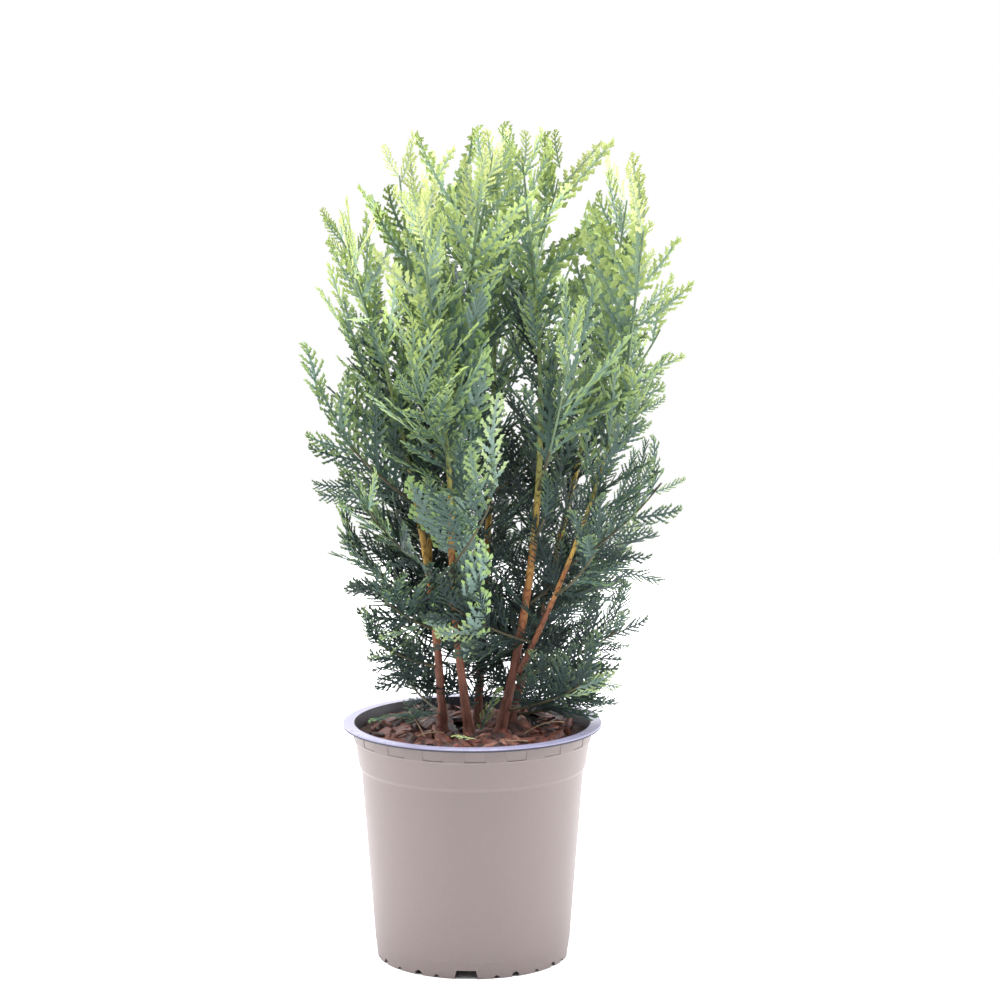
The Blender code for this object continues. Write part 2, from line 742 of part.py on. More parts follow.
def frond_pose(mass, share, side, length, angle, tilt):
    """A frond's root, direction, direction across, and length."""
    root, ahead, across = fan_frame(mass, share)
    if side == 0:
        aim = mass["path"][-1] - root
        length = aim.length
        aim = (aim.normalized() + ahead.cross(across) * tilt).normalized()
    else:
        aim = ahead * math.cos(angle) + across * (side * math.sin(angle))
        aim = (aim + ahead.cross(across) * tilt).normalized()
    while length > FROND_SHORTEST and crown_share(root + aim * length) > 1.0:
        length *= FROND_TRIM
    return root, aim, (across - aim * across.dot(aim)).normalized(), length


def clear_frond(mass, plan, others):
    """The frond at its longest that stands clear of the others, swung out of its fan if need be."""
    share, side, length, angle, tilt = plan
    while length > FROND_SHORTEST:
        for swing in FROND_SWINGS:
            root, aim, across, reach = frond_pose(mass, share, side, length, angle, tilt + swing)
            if side == 0:
                reach = min(reach, length)
            teeth = 3 if reach > THIRD_TOOTH else 2
            tree = tree_of(*frond(root, aim, across, reach, teeth, 0.0, FROND_CLEAR))
            if reach > FROND_SHORTEST and not any(tree.overlap(other) for other in others):
                sunk = FROND_SINK * between(TWIG_R, share)
                return frond(root, aim, across, reach, teeth, sunk)
        length *= FROND_SHORTEN
    return None


def make_mass(mass, order, others, finish):
    """Fuses one mass: its twig, and each frond that stays in the crown and clear of the rest."""
    rng = random.Random(FROND_SEED + order)
    shapes = [twig_shape(mass["path"])]
    twig = add_object(mass["name"], *shapes[0], finish)
    recalculate_normals(twig)
    total = (mass["path"][-1] - mass["path"][0]).length
    fronds = []
    tip_frond = (1 - TIP_FROND, 0, TIP_FROND * total, 0, 0)
    for k, plan in enumerate([*frond_plan(mass, rng), tip_frond]):
        shape = clear_frond(mass, plan, others)
        if shape is None:
            continue
        shapes.append(shape)
        blade = add_object(f"frond_{k}", *shape, finish)
        recalculate_normals(blade)
        fronds.append(blade)
    boolean(twig, fronds, "UNION")
    return [tree_of(*shape) for shape in shapes]


def main():
    clear_scene()
    finish = {name: material(name, *look) for name, look in FINISHES.items()}
    pot = make_pot(finish["pot_taupe"])
    make_compost(finish["compost_dark"])
    limbs = plan_limbs()
    mulch = make_mulch(limbs, finish["bark_chips"])
    trees = {"pot": [tree_of_object(pot), tree_of_object(mulch)]}
    for name, limb in limbs.items():
        shape = limb_shape(limb)
        label = f"stem_{name}" if limb["flare"] else f"bough_{name}"
        obj = add_object(label, *shape, finish["stem_bark"])
        recalculate_normals(obj)
        trees[name] = [tree_of(*shape)]
    masses = plan_masses(limbs)
    for mass in masses:
        trees[mass["name"]] = [tree_of(*twig_shape(mass["path"], GAP))]
    for order, mass in enumerate(masses):
        others = [t for name, group in trees.items() if name != mass["name"] for t in group]
        trees[mass["name"]] = make_mass(mass, order, others, finish["cypress_green"])


main()
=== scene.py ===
"""Dresses the potted Lawson cypress: a turned plastic pot with compost and bark mulch, five
stems with scaly bark, and flat sprays of scale leaves that grow on from the stems by the rule
that shaped the solids.

Units are metres, +Z is up and the front is -Y. The origin is under the middle of the pot.
"""

import json
import math
import random
from collections import namedtuple

import bmesh
import bpy
from mathutils import Matrix, Vector, noise
from mathutils.bvhtree import BVHTree

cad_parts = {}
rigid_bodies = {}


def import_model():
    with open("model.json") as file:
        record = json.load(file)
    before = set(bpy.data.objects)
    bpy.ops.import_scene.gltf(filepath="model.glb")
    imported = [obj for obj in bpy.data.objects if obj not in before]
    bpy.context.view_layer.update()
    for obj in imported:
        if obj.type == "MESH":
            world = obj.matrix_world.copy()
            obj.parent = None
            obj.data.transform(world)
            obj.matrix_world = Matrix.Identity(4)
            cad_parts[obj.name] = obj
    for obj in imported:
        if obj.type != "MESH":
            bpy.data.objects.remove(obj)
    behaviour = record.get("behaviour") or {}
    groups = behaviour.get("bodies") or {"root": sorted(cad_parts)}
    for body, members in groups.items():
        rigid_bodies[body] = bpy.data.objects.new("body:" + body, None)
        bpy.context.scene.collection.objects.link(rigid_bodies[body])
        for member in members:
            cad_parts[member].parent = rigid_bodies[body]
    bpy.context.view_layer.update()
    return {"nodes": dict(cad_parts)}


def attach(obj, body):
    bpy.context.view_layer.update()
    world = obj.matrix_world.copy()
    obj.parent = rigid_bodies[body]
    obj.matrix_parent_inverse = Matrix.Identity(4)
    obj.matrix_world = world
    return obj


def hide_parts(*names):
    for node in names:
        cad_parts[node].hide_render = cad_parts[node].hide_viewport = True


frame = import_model()

# The studio is a pale floor in a white room, with large soft lamps at both sides and above.
# The camera stands a little above the crown's top and looks slightly down on the pot.
CAMERA_PLACE = (0.0181, -2.0, 0.5976)
CAMERA_PITCH = math.radians(8.386)
CAMERA_LENS = 112.03
BACKDROP_WHITE = (1.0, 1.0, 1.0, 1.0)
ROOM_FRONT = (0.32, 0.32, 0.34, 1.0)
ROOM_BACK = (2.00, 1.99, 2.05, 1.0)
ROOM_DIMS = (-0.9, 0.2)
FLOOR_SIDE = 3.2
LAMPS = {
    "left_lamp": ((-1.9, -0.05, 1.1), (0.0, 0.0, 0.25), 1.4, 28.5),
    "right_lamp": ((1.9, 0.00, 1.1), (0.0, 0.0, 0.25), 1.4, 28.5),
    "top_lamp": ((0.0, -0.20, 2.1), (0.0, 0.0, 0.3), 1.1, 72.0),
}


def place_camera():
    camera = bpy.data.cameras.new("camera")
    camera.lens = CAMERA_LENS
    holder = bpy.data.objects.new("camera", camera)
    holder.location = CAMERA_PLACE
    holder.rotation_euler = (math.pi / 2 - CAMERA_PITCH, 0.0, 0.0)
    bpy.context.scene.collection.objects.link(holder)
    bpy.context.scene.camera = holder


def add_node(tree, kind, values=None, **settings):
    """A new node in a tree, with these settings, and these values in its inputs."""
    node = tree.nodes.new(kind)
    for name, value in settings.items():
        setattr(node, name, value)
    for name, value in (values or {}).items():
        node.inputs[name].default_value = value
    return node


def join_sockets(tree, *joints):
    """Joins nodes: each joint is a node and its output, and the node and input that it feeds."""
    for node, output, fed, into in joints:
        tree.links.new(node.outputs[output], fed.inputs[into])


def light_room():
    """White walls that dim towards the front, where the photographer stands."""
    world = bpy.data.worlds.new("white_room")
    world.use_nodes = True
    tree = world.node_tree
    place = add_node(tree, "ShaderNodeTexCoord")
    split = add_node(tree, "ShaderNodeSeparateXYZ")
    dims = {"From Min": ROOM_DIMS[0], "From Max": ROOM_DIMS[1]}
    depth = add_node(tree, "ShaderNodeMapRange", dims)
    walls = add_node(tree, "ShaderNodeMix", {"A": ROOM_FRONT, "B": ROOM_BACK}, data_type="RGBA")
    rays = add_node(tree, "ShaderNodeLightPath")
    seen = add_node(tree, "ShaderNodeMix", {"B": BACKDROP_WHITE}, data_type="RGBA")
    join_sockets(
        tree,
        (place, "Generated", split, "Vector"),
        (split, "Y", depth, "Value"),
        (depth, "Result", walls, "Factor"),
        (rays, "Is Camera Ray", seen, "Factor"),
        (walls, "Result", seen, "A"),
        (seen, "Result", tree.nodes["Background"], "Color"),
    )
    bpy.context.scene.world = world
    bpy.context.scene.view_settings.view_transform = "Standard"


def hang_lamp(name, place, target, side, power):
    lamp = bpy.data.lights.new(name, "AREA")
    lamp.size = side
    lamp.energy = power
    holder = bpy.data.objects.new(name, lamp)
    holder.location = place
    aim = Vector(target) - Vector(place)
    holder.rotation_euler = aim.to_track_quat("-Z", "Y").to_euler()
    bpy.context.scene.collection.objects.link(holder)


CLOUDS = {"Detail": 6.0, "Roughness": 0.6}
CLOUD_SPREAD = {"From Min": 0.3, "From Max": 0.7}
RELIEF_STRENGTH = 0.6
CHIP_FINISH = (230.0, (0.38, 0.70), 0.0006, (1, 1, 1.6))
TWIG_FINISH = (60.0, (0.50, 0.70), 0.0002)

# Each skin has its darkest and lightest colour, how fine its mottle is, how rough it is where
# smoothest and roughest, and for some the depth of its relief and the stretch of its mottle.
SKINS = {
    "floor_paper": ((0.90, 0.90, 0.90), (0.94, 0.94, 0.94), 3.0, (0.70, 0.80)),
    "pot_taupe": ((0.153, 0.121, 0.115), (0.167, 0.133, 0.126), 900.0, (0.42, 0.50), 0.00004),
    # The rim's light lavender is painted reflection of the white room on its glossy plastic.
    "pot_rim_painted_reflection": ((0.230, 0.222, 0.330), (0.240, 0.232, 0.345), 60.0, (0.26, 0.32)),
    # The inside skin also darkens the collar's last strip under the rim, as painted shade.
    "pot_inside_and_shade": ((0.018, 0.017, 0.026), (0.028, 0.026, 0.038), 220.0, (0.35, 0.50), 0.00003),
    # The rim's underside and lower rounding are dark: partly the rim's own dark plastic, partly
    # painted shade under its overhang.
    "pot_edge_and_under_rim_shade": ((0.020, 0.018, 0.030), (0.026, 0.024, 0.038), 60.0, (0.50, 0.60)),
    "peat": ((0.012, 0.008, 0.006), (0.060, 0.040, 0.028), 320.0, (0.85, 0.98), 0.0008),
    "mulch_crumbs": ((0.014, 0.008, 0.007), (0.085, 0.038, 0.026), 520.0, (0.80, 0.95), 0.001),
    "bark_russet": ((0.038, 0.012, 0.009), (0.215, 0.068, 0.044), *CHIP_FINISH),
    "bark_tan": ((0.100, 0.038, 0.026), (0.350, 0.165, 0.115), *CHIP_FINISH),
    "bark_umber": ((0.012, 0.006, 0.006), (0.070, 0.028, 0.022), *CHIP_FINISH),
    "dry_straw": ((0.220, 0.145, 0.080), (0.380, 0.275, 0.165), 300.0, (0.60, 0.80)),
    "bark": ((0.55, 0.55, 0.55), (1.0, 1.0, 1.0), 420.0, (0.55, 0.80), 0.0004, (1, 1, 0.25)),
    "twig_brown": ((0.050, 0.050, 0.030), (0.105, 0.092, 0.045), *TWIG_FINISH),
    "twig_green": ((0.085, 0.140, 0.080), (0.150, 0.220, 0.120), *TWIG_FINISH),
}


def mottle_group():
    """Cloudy noise in a piece's own space, put out as a colour, a roughness and a height."""
    group = bpy.data.node_groups.new("mottle", "ShaderNodeTree")
    sockets = (
        ("Scale", "INPUT", "NodeSocketFloat"),
        ("Stretch", "INPUT", "NodeSocketVector"),
        ("Dark", "INPUT", "NodeSocketColor"),
        ("Light", "INPUT", "NodeSocketColor"),
        ("Smooth", "INPUT", "NodeSocketFloat"),
        ("Rough", "INPUT", "NodeSocketFloat"),
        ("Color", "OUTPUT", "NodeSocketColor"),
        ("Roughness", "OUTPUT", "NodeSocketFloat"),
        ("Height", "OUTPUT", "NodeSocketFloat"),
    )
    for name, way, kind in sockets:
        group.interface.new_socket(name, in_out=way, socket_type=kind)
    given, made = add_node(group, "NodeGroupInput"), add_node(group, "NodeGroupOutput")
    place = add_node(group, "ShaderNodeTexCoord")
    stretch = add_node(group, "ShaderNodeVectorMath", operation="MULTIPLY")
    clouds = add_node(group, "ShaderNodeTexNoise", CLOUDS)
    spread = add_node(group, "ShaderNodeMapRange", CLOUD_SPREAD)
    tint = add_node(group, "ShaderNodeMix", data_type="RGBA")
    polish = add_node(group, "ShaderNodeMapRange")
    join_sockets(
        group,
        (place, "Object", stretch, 0),
        (given, "Stretch", stretch, 1),
        (stretch, "Vector", clouds, "Vector"),
        (given, "Scale", clouds, "Scale"),
        (clouds, "Fac", spread, "Value"),
        (spread, "Result", tint, "Factor"),
        (given, "Dark", tint, "A"),
        (given, "Light", tint, "B"),
        (spread, "Result", polish, "Value"),
        (given, "Smooth", polish, "To Min"),
        (given, "Rough", polish, "To Max"),
        (tint, "Result", made, "Color"),
        (polish, "Result", made, "Roughness"),
        (spread, "Result", made, "Height"),
    )
    return group


MOTTLE = mottle_group()


def mottled(name, dark, light, scale, rough, relief=0.0, stretch=(1, 1, 1)):
    """A material whose colour, gloss and fine relief all come from one mottle group."""
    material = bpy.data.materials.new(name)
    material.use_nodes = True
    tree = material.node_tree
    shader = tree.nodes["Principled BSDF"]
    values = {"Scale": scale, "Stretch": stretch, "Dark": (*dark, 1.0), "Light": (*light, 1.0)}
    values |= {"Smooth": rough[0], "Rough": rough[1]}
    mottle = add_node(tree, "ShaderNodeGroup", values, node_tree=MOTTLE, name="mottle")
    join_sockets(
        tree,
        (mottle, "Color", shader, "Base Color"),
        (mottle, "Roughness", shader, "Roughness"),
    )
    if relief:
        depth = {"Distance": relief, "Strength": RELIEF_STRENGTH}
        bump = add_node(tree, "ShaderNodeBump", depth)
        join_sockets(tree, (mottle, "Height", bump, "Height"), (bump, "Normal", shader, "Normal"))
    return material


def skin(name):
    """The material of one of the skins."""
    return mottled(name, *SKINS[name])


def new_object(name, points, faces):
    """A smooth object made from points and faces, not yet in the scene."""
    mesh = bpy.data.meshes.new(name)
    mesh.from_pydata([tuple(point) for point in points], [], faces)
    mesh.shade_smooth()
    return bpy.data.objects.new(name, mesh)


def add_solid(name, points, faces, *finishes):
    """A smooth object made from points and faces, in the scene, with these materials."""
    obj = new_object(name, points, faces)
    for finish in finishes:
        obj.data.materials.append(finish)
    bpy.context.scene.collection.objects.link(obj)
    return obj


def set_attribute(obj, name, kind, domain, values):
    """Gives an object's mesh an attribute with these values."""
    layer = obj.data.attributes.new(name, kind, domain)
    layer.data.foreach_set("vector" if kind == "FLOAT_VECTOR" else "value", values)


def discard(objects):
    """Removes helper objects once they have done their work."""
    for obj in list(objects):
        bpy.data.objects.remove(obj, do_unlink=True)


def turns_round(count):
    """Even turns about an axis, from zero."""
    return [2 * math.pi * k / count for k in range(count)]


def ring_point(reach, turn, z):
    """The point at a reach and a turn from the Z axis, and a height."""
    return Vector((reach * math.cos(turn), reach * math.sin(turn), z))


def square_to(aim, vector):
    """The part of a vector that stands square to an aim, at length one."""
    return (vector - aim * vector.dot(aim)).normalized()


def between(ends, share):
    """The value at a share of the way from the first end to the second."""
    return ends[0] + (ends[1] - ends[0]) * share


def lay_floor():
    half = FLOOR_SIDE / 2
    corners = [(-half, -half, 0), (half, -half, 0), (half, half, 0), (-half, half, 0)]
    add_solid("floor", corners, [(0, 1, 2, 3)], skin("floor_paper"))


place_camera()
light_room()
for lamp_name, lamp_values in LAMPS.items():
    hang_lamp(lamp_name, *lamp_values)
lay_floor()

# The pot is one thin plastic moulding, taupe outside and dark inside, with a flat glossy rim.
# Every other panel of the collar under the rim stands out, and the foot has drain notches.
RIM_R = 0.0850
RIM_INNER_R = 0.0774
RIM_TOP = 0.1563
RIM_THICK = 0.0021
RIM_ROUND = 0.0009
LIP_RISE = 0.0003
LIP_WIDTH = 0.0012
COLLAR_R = 0.0789
COLLAR_FOOT_R = 0.0779
COLLAR_FOOT_Z = 0.1457
COLLAR_STEP = 0.0008
LEDGE_Z = 0.1270
LEDGE_HEIGHT = 0.0024
LEDGE_R = 0.0746
LEDGE_STEP = 0.0015
SEAM_Z = 0.0108
SEAM_R = 0.0643
SEAM_GROOVE = 0.0003
FOOT_R = 0.0629
FOOT_RING = 0.0021
WALL = 0.0015
FLOOR_UNDER = 0.0062
FLOOR_TOP = 0.0085
PAD_R = 0.013
PAD_SLOPE = 0.002
PANEL_COUNT = 36
PANEL_RISE = 0.0004
PANEL_TURNS = (-0.12, 0.12, 2.0, 4.0, 6.0, 8.0)
POT_SIDES = PANEL_COUNT * len(PANEL_TURNS)
ROUND_STEPS = 3
SMALL_ROUND = 0.0003
POT_SHARP = math.radians(32)
GATE_TURN = math.radians(-93.3)
GATE_TOP_WIDTH = 0.0124
GATE_FOOT_WIDTH = 0.0172
GATE_HEIGHT = 0.0058
NOTCH_TURNS = (18, 30, 45, 60, 72)
NOTCH_RADII = (0.0019, 0.0029, 0.0019, 0.0029, 0.0019)
NOTCH_RISE = 1.15
NOTCH_SIDES = 13
CUT_BELOW = 0.002
CUT_REACH = 0.006
WALL_SKIN, RIM_REFLECTION_SKIN, INSIDE_AND_SHADE_SKIN, RIM_EDGE_AND_SHADE_SKIN = range(4)


def pot_corners():
    """The pot's section from under its middle, out and up, and back down inside: each corner
    has its radius, height, rounding, 1 where the collar's panels stand out, and its skin."""
    under_rim = RIM_TOP - RIM_THICK
    ledge_top, ledge_foot = LEDGE_Z + LEDGE_HEIGHT / 2, LEDGE_Z - LEDGE_HEIGHT / 2
    collar_low = COLLAR_FOOT_Z + COLLAR_STEP
    return [
        (0, 0, 0, 0, WALL_SKIN),
        (PAD_R, 0, SMALL_ROUND, 0, WALL_SKIN),
        (PAD_R + PAD_SLOPE, FLOOR_UNDER, SMALL_ROUND, 0, WALL_SKIN),
        (FOOT_R - FOOT_RING, FLOOR_UNDER, SMALL_ROUND, 0, WALL_SKIN),
        (FOOT_R - FOOT_RING, 0, SMALL_ROUND, 0, WALL_SKIN),
        (FOOT_R, 0, SMALL_ROUND, 0, WALL_SKIN),
        (SEAM_R - SEAM_GROOVE, SEAM_Z - SEAM_GROOVE, 0, 0, WALL_SKIN),
        (SEAM_R, SEAM_Z, SMALL_ROUND, 0, WALL_SKIN),
        (LEDGE_R - LEDGE_STEP, ledge_foot, SMALL_ROUND, 0, WALL_SKIN),
        (LEDGE_R, ledge_top, SMALL_ROUND, 0, WALL_SKIN),
        (COLLAR_FOOT_R - COLLAR_STEP, COLLAR_FOOT_Z - COLLAR_STEP, SMALL_ROUND, 0, WALL_SKIN),
        (COLLAR_FOOT_R, COLLAR_FOOT_Z, SMALL_ROUND, 0, WALL_SKIN),
        (COLLAR_FOOT_R, collar_low, 0, 1, WALL_SKIN),
        (COLLAR_R, under_rim - SMALL_ROUND, 0, 1, WALL_SKIN),
        # The collar's last strip under the rim takes the dark inside skin: painted shade.
        (COLLAR_R, under_rim, 0, 0, INSIDE_AND_SHADE_SKIN),
        # The rim's underside and lower rounding take the dark edge skin: the rim's dark plastic
        # with painted shade under the overhang.
        (RIM_R, under_rim, SMALL_ROUND, 0, RIM_EDGE_AND_SHADE_SKIN),
        # The rim's outer face and top take the rim skin, whose lavender is painted reflection.
        (RIM_R, RIM_TOP, RIM_ROUND, 0, RIM_REFLECTION_SKIN),
        (RIM_INNER_R + LIP_WIDTH, RIM_TOP - LIP_RISE, SMALL_ROUND, 0, RIM_REFLECTION_SKIN),
        (RIM_INNER_R, RIM_TOP, SMALL_ROUND, 0, INSIDE_AND_SHADE_SKIN),
        (LEDGE_R - WALL, ledge_top, SMALL_ROUND, 0, INSIDE_AND_SHADE_SKIN),
        (LEDGE_R - LEDGE_STEP - WALL, ledge_foot, SMALL_ROUND, 0, INSIDE_AND_SHADE_SKIN),
        (SEAM_R - WALL, SEAM_Z, SMALL_ROUND, 0, INSIDE_AND_SHADE_SKIN),
        (SEAM_R - 2 * WALL, FLOOR_TOP, SMALL_ROUND, 0, INSIDE_AND_SHADE_SKIN),
        (0, FLOOR_TOP, 0, 0, INSIDE_AND_SHADE_SKIN),
    ]


def rounded(corners):
    """The section with an arc in place of each corner that has a rounding."""
    section = [corners[0]]
    for before, corner, after in zip(corners, corners[1:], corners[2:]):
        place = Vector(corner[:2])
        reach = corner[2]
        if not reach:
            section.append(corner)
            continue
        start = place + (Vector(before[:2]) - place).normalized() * reach
        end = place + (Vector(after[:2]) - place).normalized() * reach
        for k in range(ROUND_STEPS + 1):
            t = k / ROUND_STEPS
            point = start * (1 - t) ** 2 + place * 2 * t * (1 - t) + end * t * t
            section.append((point.x, point.y, 0, corner[3], corner[4]))
    section.append(corners[-1])
    return section


def panel_turns():
    """Every side's turn about the pot's axis, and 1 on the collar panels that stand out."""
    turns = []
    for panel in range(PANEL_COUNT):
        for k, degrees in enumerate(PANEL_TURNS):
            turn = GATE_TURN + math.radians(panel * 360 / PANEL_COUNT + degrees)
            turns.append((turn, (panel + (k == 0)) % 2))
    return turns


def turned_pot(*finishes):
    """Turns the section round the pot's axis, with every other panel of the collar raised."""
    section = rounded(pot_corners())
    points, faces, indices = [Vector((0, 0, section[0][1]))], [], []
    for radius, z, _, share, _ in section[1:-1]:
        for turn, raised in panel_turns():
            points.append(ring_point(radius + PANEL_RISE * (raised - 1) * share, turn, z))
    points.append(Vector((0, 0, section[-1][1])))
    rings = len(section) - 2
    for k in range(POT_SIDES):
        after = (k + 1) % POT_SIDES
        faces.append((0, 1 + after, 1 + k))
        indices.append(section[0][4])
        for ring in range(rings - 1):
            a = 1 + ring * POT_SIDES
            b = a + POT_SIDES
            faces.append((a + k, a + after, b + after, b + k))
            indices.append(section[ring + 1][4])
        top = 1 + (rings - 1) * POT_SIDES
        faces.append((top + k, top + after, len(points) - 1))
        indices.append(section[-2][4])
    pot = add_solid("pot_moulding", points, faces, *finishes)
    pot.data.polygons.foreach_set("material_index", indices)
    return pot


def foot_cutter(name, turn, outline):
    """A prism through the foot wall, from its outline (across, z)."""
    points = []
    for along in (FOOT_R - CUT_REACH, FOOT_R + CUT_REACH):
        for across, z in outline:
            x = along * math.cos(turn) - across * math.sin(turn)
            points.append((x, along * math.sin(turn) + across * math.cos(turn), z))
    count = len(outline)
    faces = [tuple(range(count)), tuple(range(2 * count - 1, count - 1, -1))]
    faces += [(k, k + count, (k + 1) % count + count, (k + 1) % count) for k in range(count)]
    cutter = add_solid(name, points, faces)
    face_outward(cutter)
    return cutter


def face_outward(obj):
    """Turns an object's faces so that they all point outwards."""
    bm = bmesh.new()
    bm.from_mesh(obj.data)
    bmesh.ops.recalc_face_normals(bm, faces=bm.faces)
    bm.to_mesh(obj.data)
    bm.free()


def foot_cutters():
    """The prisms that cut a gate and its five notches out of each quarter of the foot."""
    gate = [(-GATE_FOOT_WIDTH / 2, -CUT_BELOW), (GATE_FOOT_WIDTH / 2, -CUT_BELOW)]
    gate += [(GATE_TOP_WIDTH / 2, GATE_HEIGHT), (-GATE_TOP_WIDTH / 2, GATE_HEIGHT)]
    arc = [math.pi * k / (NOTCH_SIDES - 1) for k in range(NOTCH_SIDES)]
    cutters = []
    for quarter in range(4):
        turn = GATE_TURN + quarter * math.pi / 2
        cutters.append(foot_cutter(f"gate_{quarter}", turn, gate))
        for degrees, radius in zip(NOTCH_TURNS, NOTCH_RADII):
            notch = [(radius * math.cos(a), NOTCH_RISE * radius * math.sin(a)) for a in arc]
            notch = [(radius, -CUT_BELOW), *notch, (-radius, -CUT_BELOW)]
            place = turn + math.radians(degrees)
            cutters.append(foot_cutter(f"notch_{quarter}_{degrees}", place, notch))
    return cutters


def settle(obj):
    """Replaces an object's mesh by what its modifiers make of it, and removes them."""
    graph = bpy.context.evaluated_depsgraph_get()
    mesh = bpy.data.meshes.new_from_object(obj.evaluated_get(graph))
    obj.modifiers.clear()
    obj.data = mesh


def cut_foot(pot):
    """Cuts the gates and the drain notches through the pot's foot ring."""
    tools = bpy.data.collections.new("foot_tools")
    bpy.context.scene.collection.children.link(tools)
    cutters = foot_cutters()
    for cutter in cutters:
        bpy.context.scene.collection.objects.unlink(cutter)
        tools.objects.link(cutter)
    cut = pot.modifiers.new("cut", "BOOLEAN")
    cut.operation = "DIFFERENCE"
    cut.operand_type = "COLLECTION"
    cut.collection = tools
    cut.solver = "EXACT"
    settle(pot)
    discard(cutters)
    bpy.data.collections.remove(tools)


pot = turned_pot(skin("pot_taupe"), skin("pot_rim_painted_reflection"), skin("pot_inside_and_shade"), skin("pot_edge_and_under_rim_shade"))
cut_foot(pot)
pot.data.shade_smooth()
pot.data.set_sharp_from_angle(angle=POT_SHARP)
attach(pot, "root")
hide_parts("pot")

# The compost fills the pot up to the mulch, and is hidden by it: the solid stays, with the
# crumbly look of dark peat.
compost = frame["nodes"]["compost"]
compost.data.materials.clear()
compost.data.materials.append(skin("peat"))

# The mulch is a layer of composted bark: a rough bed of crumbs, with loose flat chips of pine
# bark strewn over it, in three browns. They were shovelled on by hand and lie at all angles.
MULCH_LOW = 0.1403
MULCH_TOP = 0.1478
BED_RINGS = 40
BED_SIDES = 120
BED_BUMPS = 0.0016
BED_GRAIN = 190.0
BED_FRACTAL = (1.0, 2.0, 4)
CHIP_KINDS = {"russet": (0.0098, 3), "tan": (0.0210, 8), "umber": (0.0118, 5)}
CHIP_SHAPES = 5
CHIP_LENGTH = (0.012, 0.025)
CHIP_WIDTH = (0.36, 0.60)
CHIP_THICK = (0.0020, 0.0046)
CHIP_CUTS = (9, 5)
CHIP_TILT = 0.50
CHIP_LIFT = 0.0012
CHIP_REACH = 0.0605
CHIP_TAPER = 0.35
CHIP_TORN = (3.1, 2.0, 0.28)
CHIP_GRAIN = (1.2, 5.5, 0.42)
CHIP_EDGE = (2.6, 0.5)
CHIP_BEND = 0.0022
CHIP_SHARP = math.radians(38)
CHIP_SEED = 17
SEED_REACH = 90
WHOLE_EDGE = 0.9
MOST_CHIPS = 60000.0


def inside_radius(z):
    """The pot's inner radius at a height above its ledge, less a hair."""
    low, high = (LEDGE_Z + LEDGE_HEIGHT / 2, LEDGE_R - WALL), (RIM_TOP, RIM_INNER_R)
    inner = low[1] + (high[1] - low[1]) * (z - low[0]) / (high[0] - low[0])
    return inner - SMALL_ROUND


def mulch_bed(finish):
    """A closed disc of crumbs with an uneven top, out to the pot's wall."""
    points, faces = [Vector((0, 0, MULCH_LOW)), Vector((0, 0, MULCH_TOP))], []
    wall, turns = inside_radius(MULCH_LOW), turns_round(BED_SIDES)
    points += [ring_point(wall, turn, MULCH_LOW) for turn in turns]
    for ring in range(1, BED_RINGS + 1):
        for turn in turns:
            place = ring_point(inside_radius(MULCH_TOP) * ring / BED_RINGS, turn, 0)
            place.z = MULCH_TOP + BED_BUMPS * noise.fractal(place * BED_GRAIN, *BED_FRACTAL)
            points.append(place)
    last = 2 + BED_RINGS * BED_SIDES
    for k in range(BED_SIDES):
        after = (k + 1) % BED_SIDES
        faces.append((0, 2 + after, 2 + k))
        faces.append((1, 2 + BED_SIDES + k, 2 + BED_SIDES + after))
        faces.append((2 + k, 2 + after, last + after, last + k))
        for ring in range(1, BED_RINGS):
            a = 2 + ring * BED_SIDES
            b = a + BED_SIDES
            faces.append((a + k, b + k, b + after, a + after))
    return add_solid("mulch_bed", points, faces, finish)


def chip_shape(name, rng):
    """One flake of bark: a flat uneven block, torn at its ends, with raised grain along it."""
    length = rng.uniform(*CHIP_LENGTH)
    width = length * rng.uniform(*CHIP_WIDTH)
    thick = rng.uniform(*CHIP_THICK)
    bm = bmesh.new()
    bmesh.ops.create_cube(bm, size=1.0)
    for axis, cuts in enumerate(CHIP_CUTS):
        edges = [e for e in bm.edges if abs(e.verts[0].co[axis] - e.verts[1].co[axis]) > WHOLE_EDGE]
        bmesh.ops.subdivide_edges(bm, edges=edges, cuts=cuts, use_grid_fill=True)
    seed = Vector((rng.uniform(0, SEED_REACH), rng.uniform(0, SEED_REACH), 0))
    bend = rng.uniform(-CHIP_BEND, CHIP_BEND)
    for vert in bm.verts:
        x, y, z = vert.co
        taper = 1 - CHIP_TAPER * abs(2 * x) ** 3
        torn = noise.noise(Vector((CHIP_TORN[0] * y, CHIP_TORN[1] * z, 0)) + seed) * CHIP_TORN[2]
        grain = noise.noise(Vector((CHIP_GRAIN[0] * x, CHIP_GRAIN[1] * y, z)) + seed)
        edge = noise.noise(Vector((CHIP_EDGE[0] * x, 0, y)) + seed)
        vert.co.x = length * (x * (1 + torn))
        vert.co.y = width * y * taper * (1 + CHIP_EDGE[1] * edge)
        vert.co.z = thick * (z * taper + CHIP_GRAIN[2] * grain) + bend * (4 * x * x - 0.5)
    mesh = bpy.data.meshes.new(name)
    bm.to_mesh(mesh)
    bm.free()
    return bpy.data.objects.new(name, mesh)


def new_tree(name, inputs):
    """A Geometry Nodes tree with a geometry in and out and these named inputs."""
    tree = bpy.data.node_groups.new(name, "GeometryNodeTree")
    for label, kind in (("Geometry", "NodeSocketGeometry"), *inputs):
        tree.interface.new_socket(label, in_out="INPUT", socket_type=kind)
    tree.interface.new_socket("Geometry", in_out="OUTPUT", socket_type="NodeSocketGeometry")
    return tree, tree.nodes.new("NodeGroupInput"), tree.nodes.new("NodeGroupOutput")


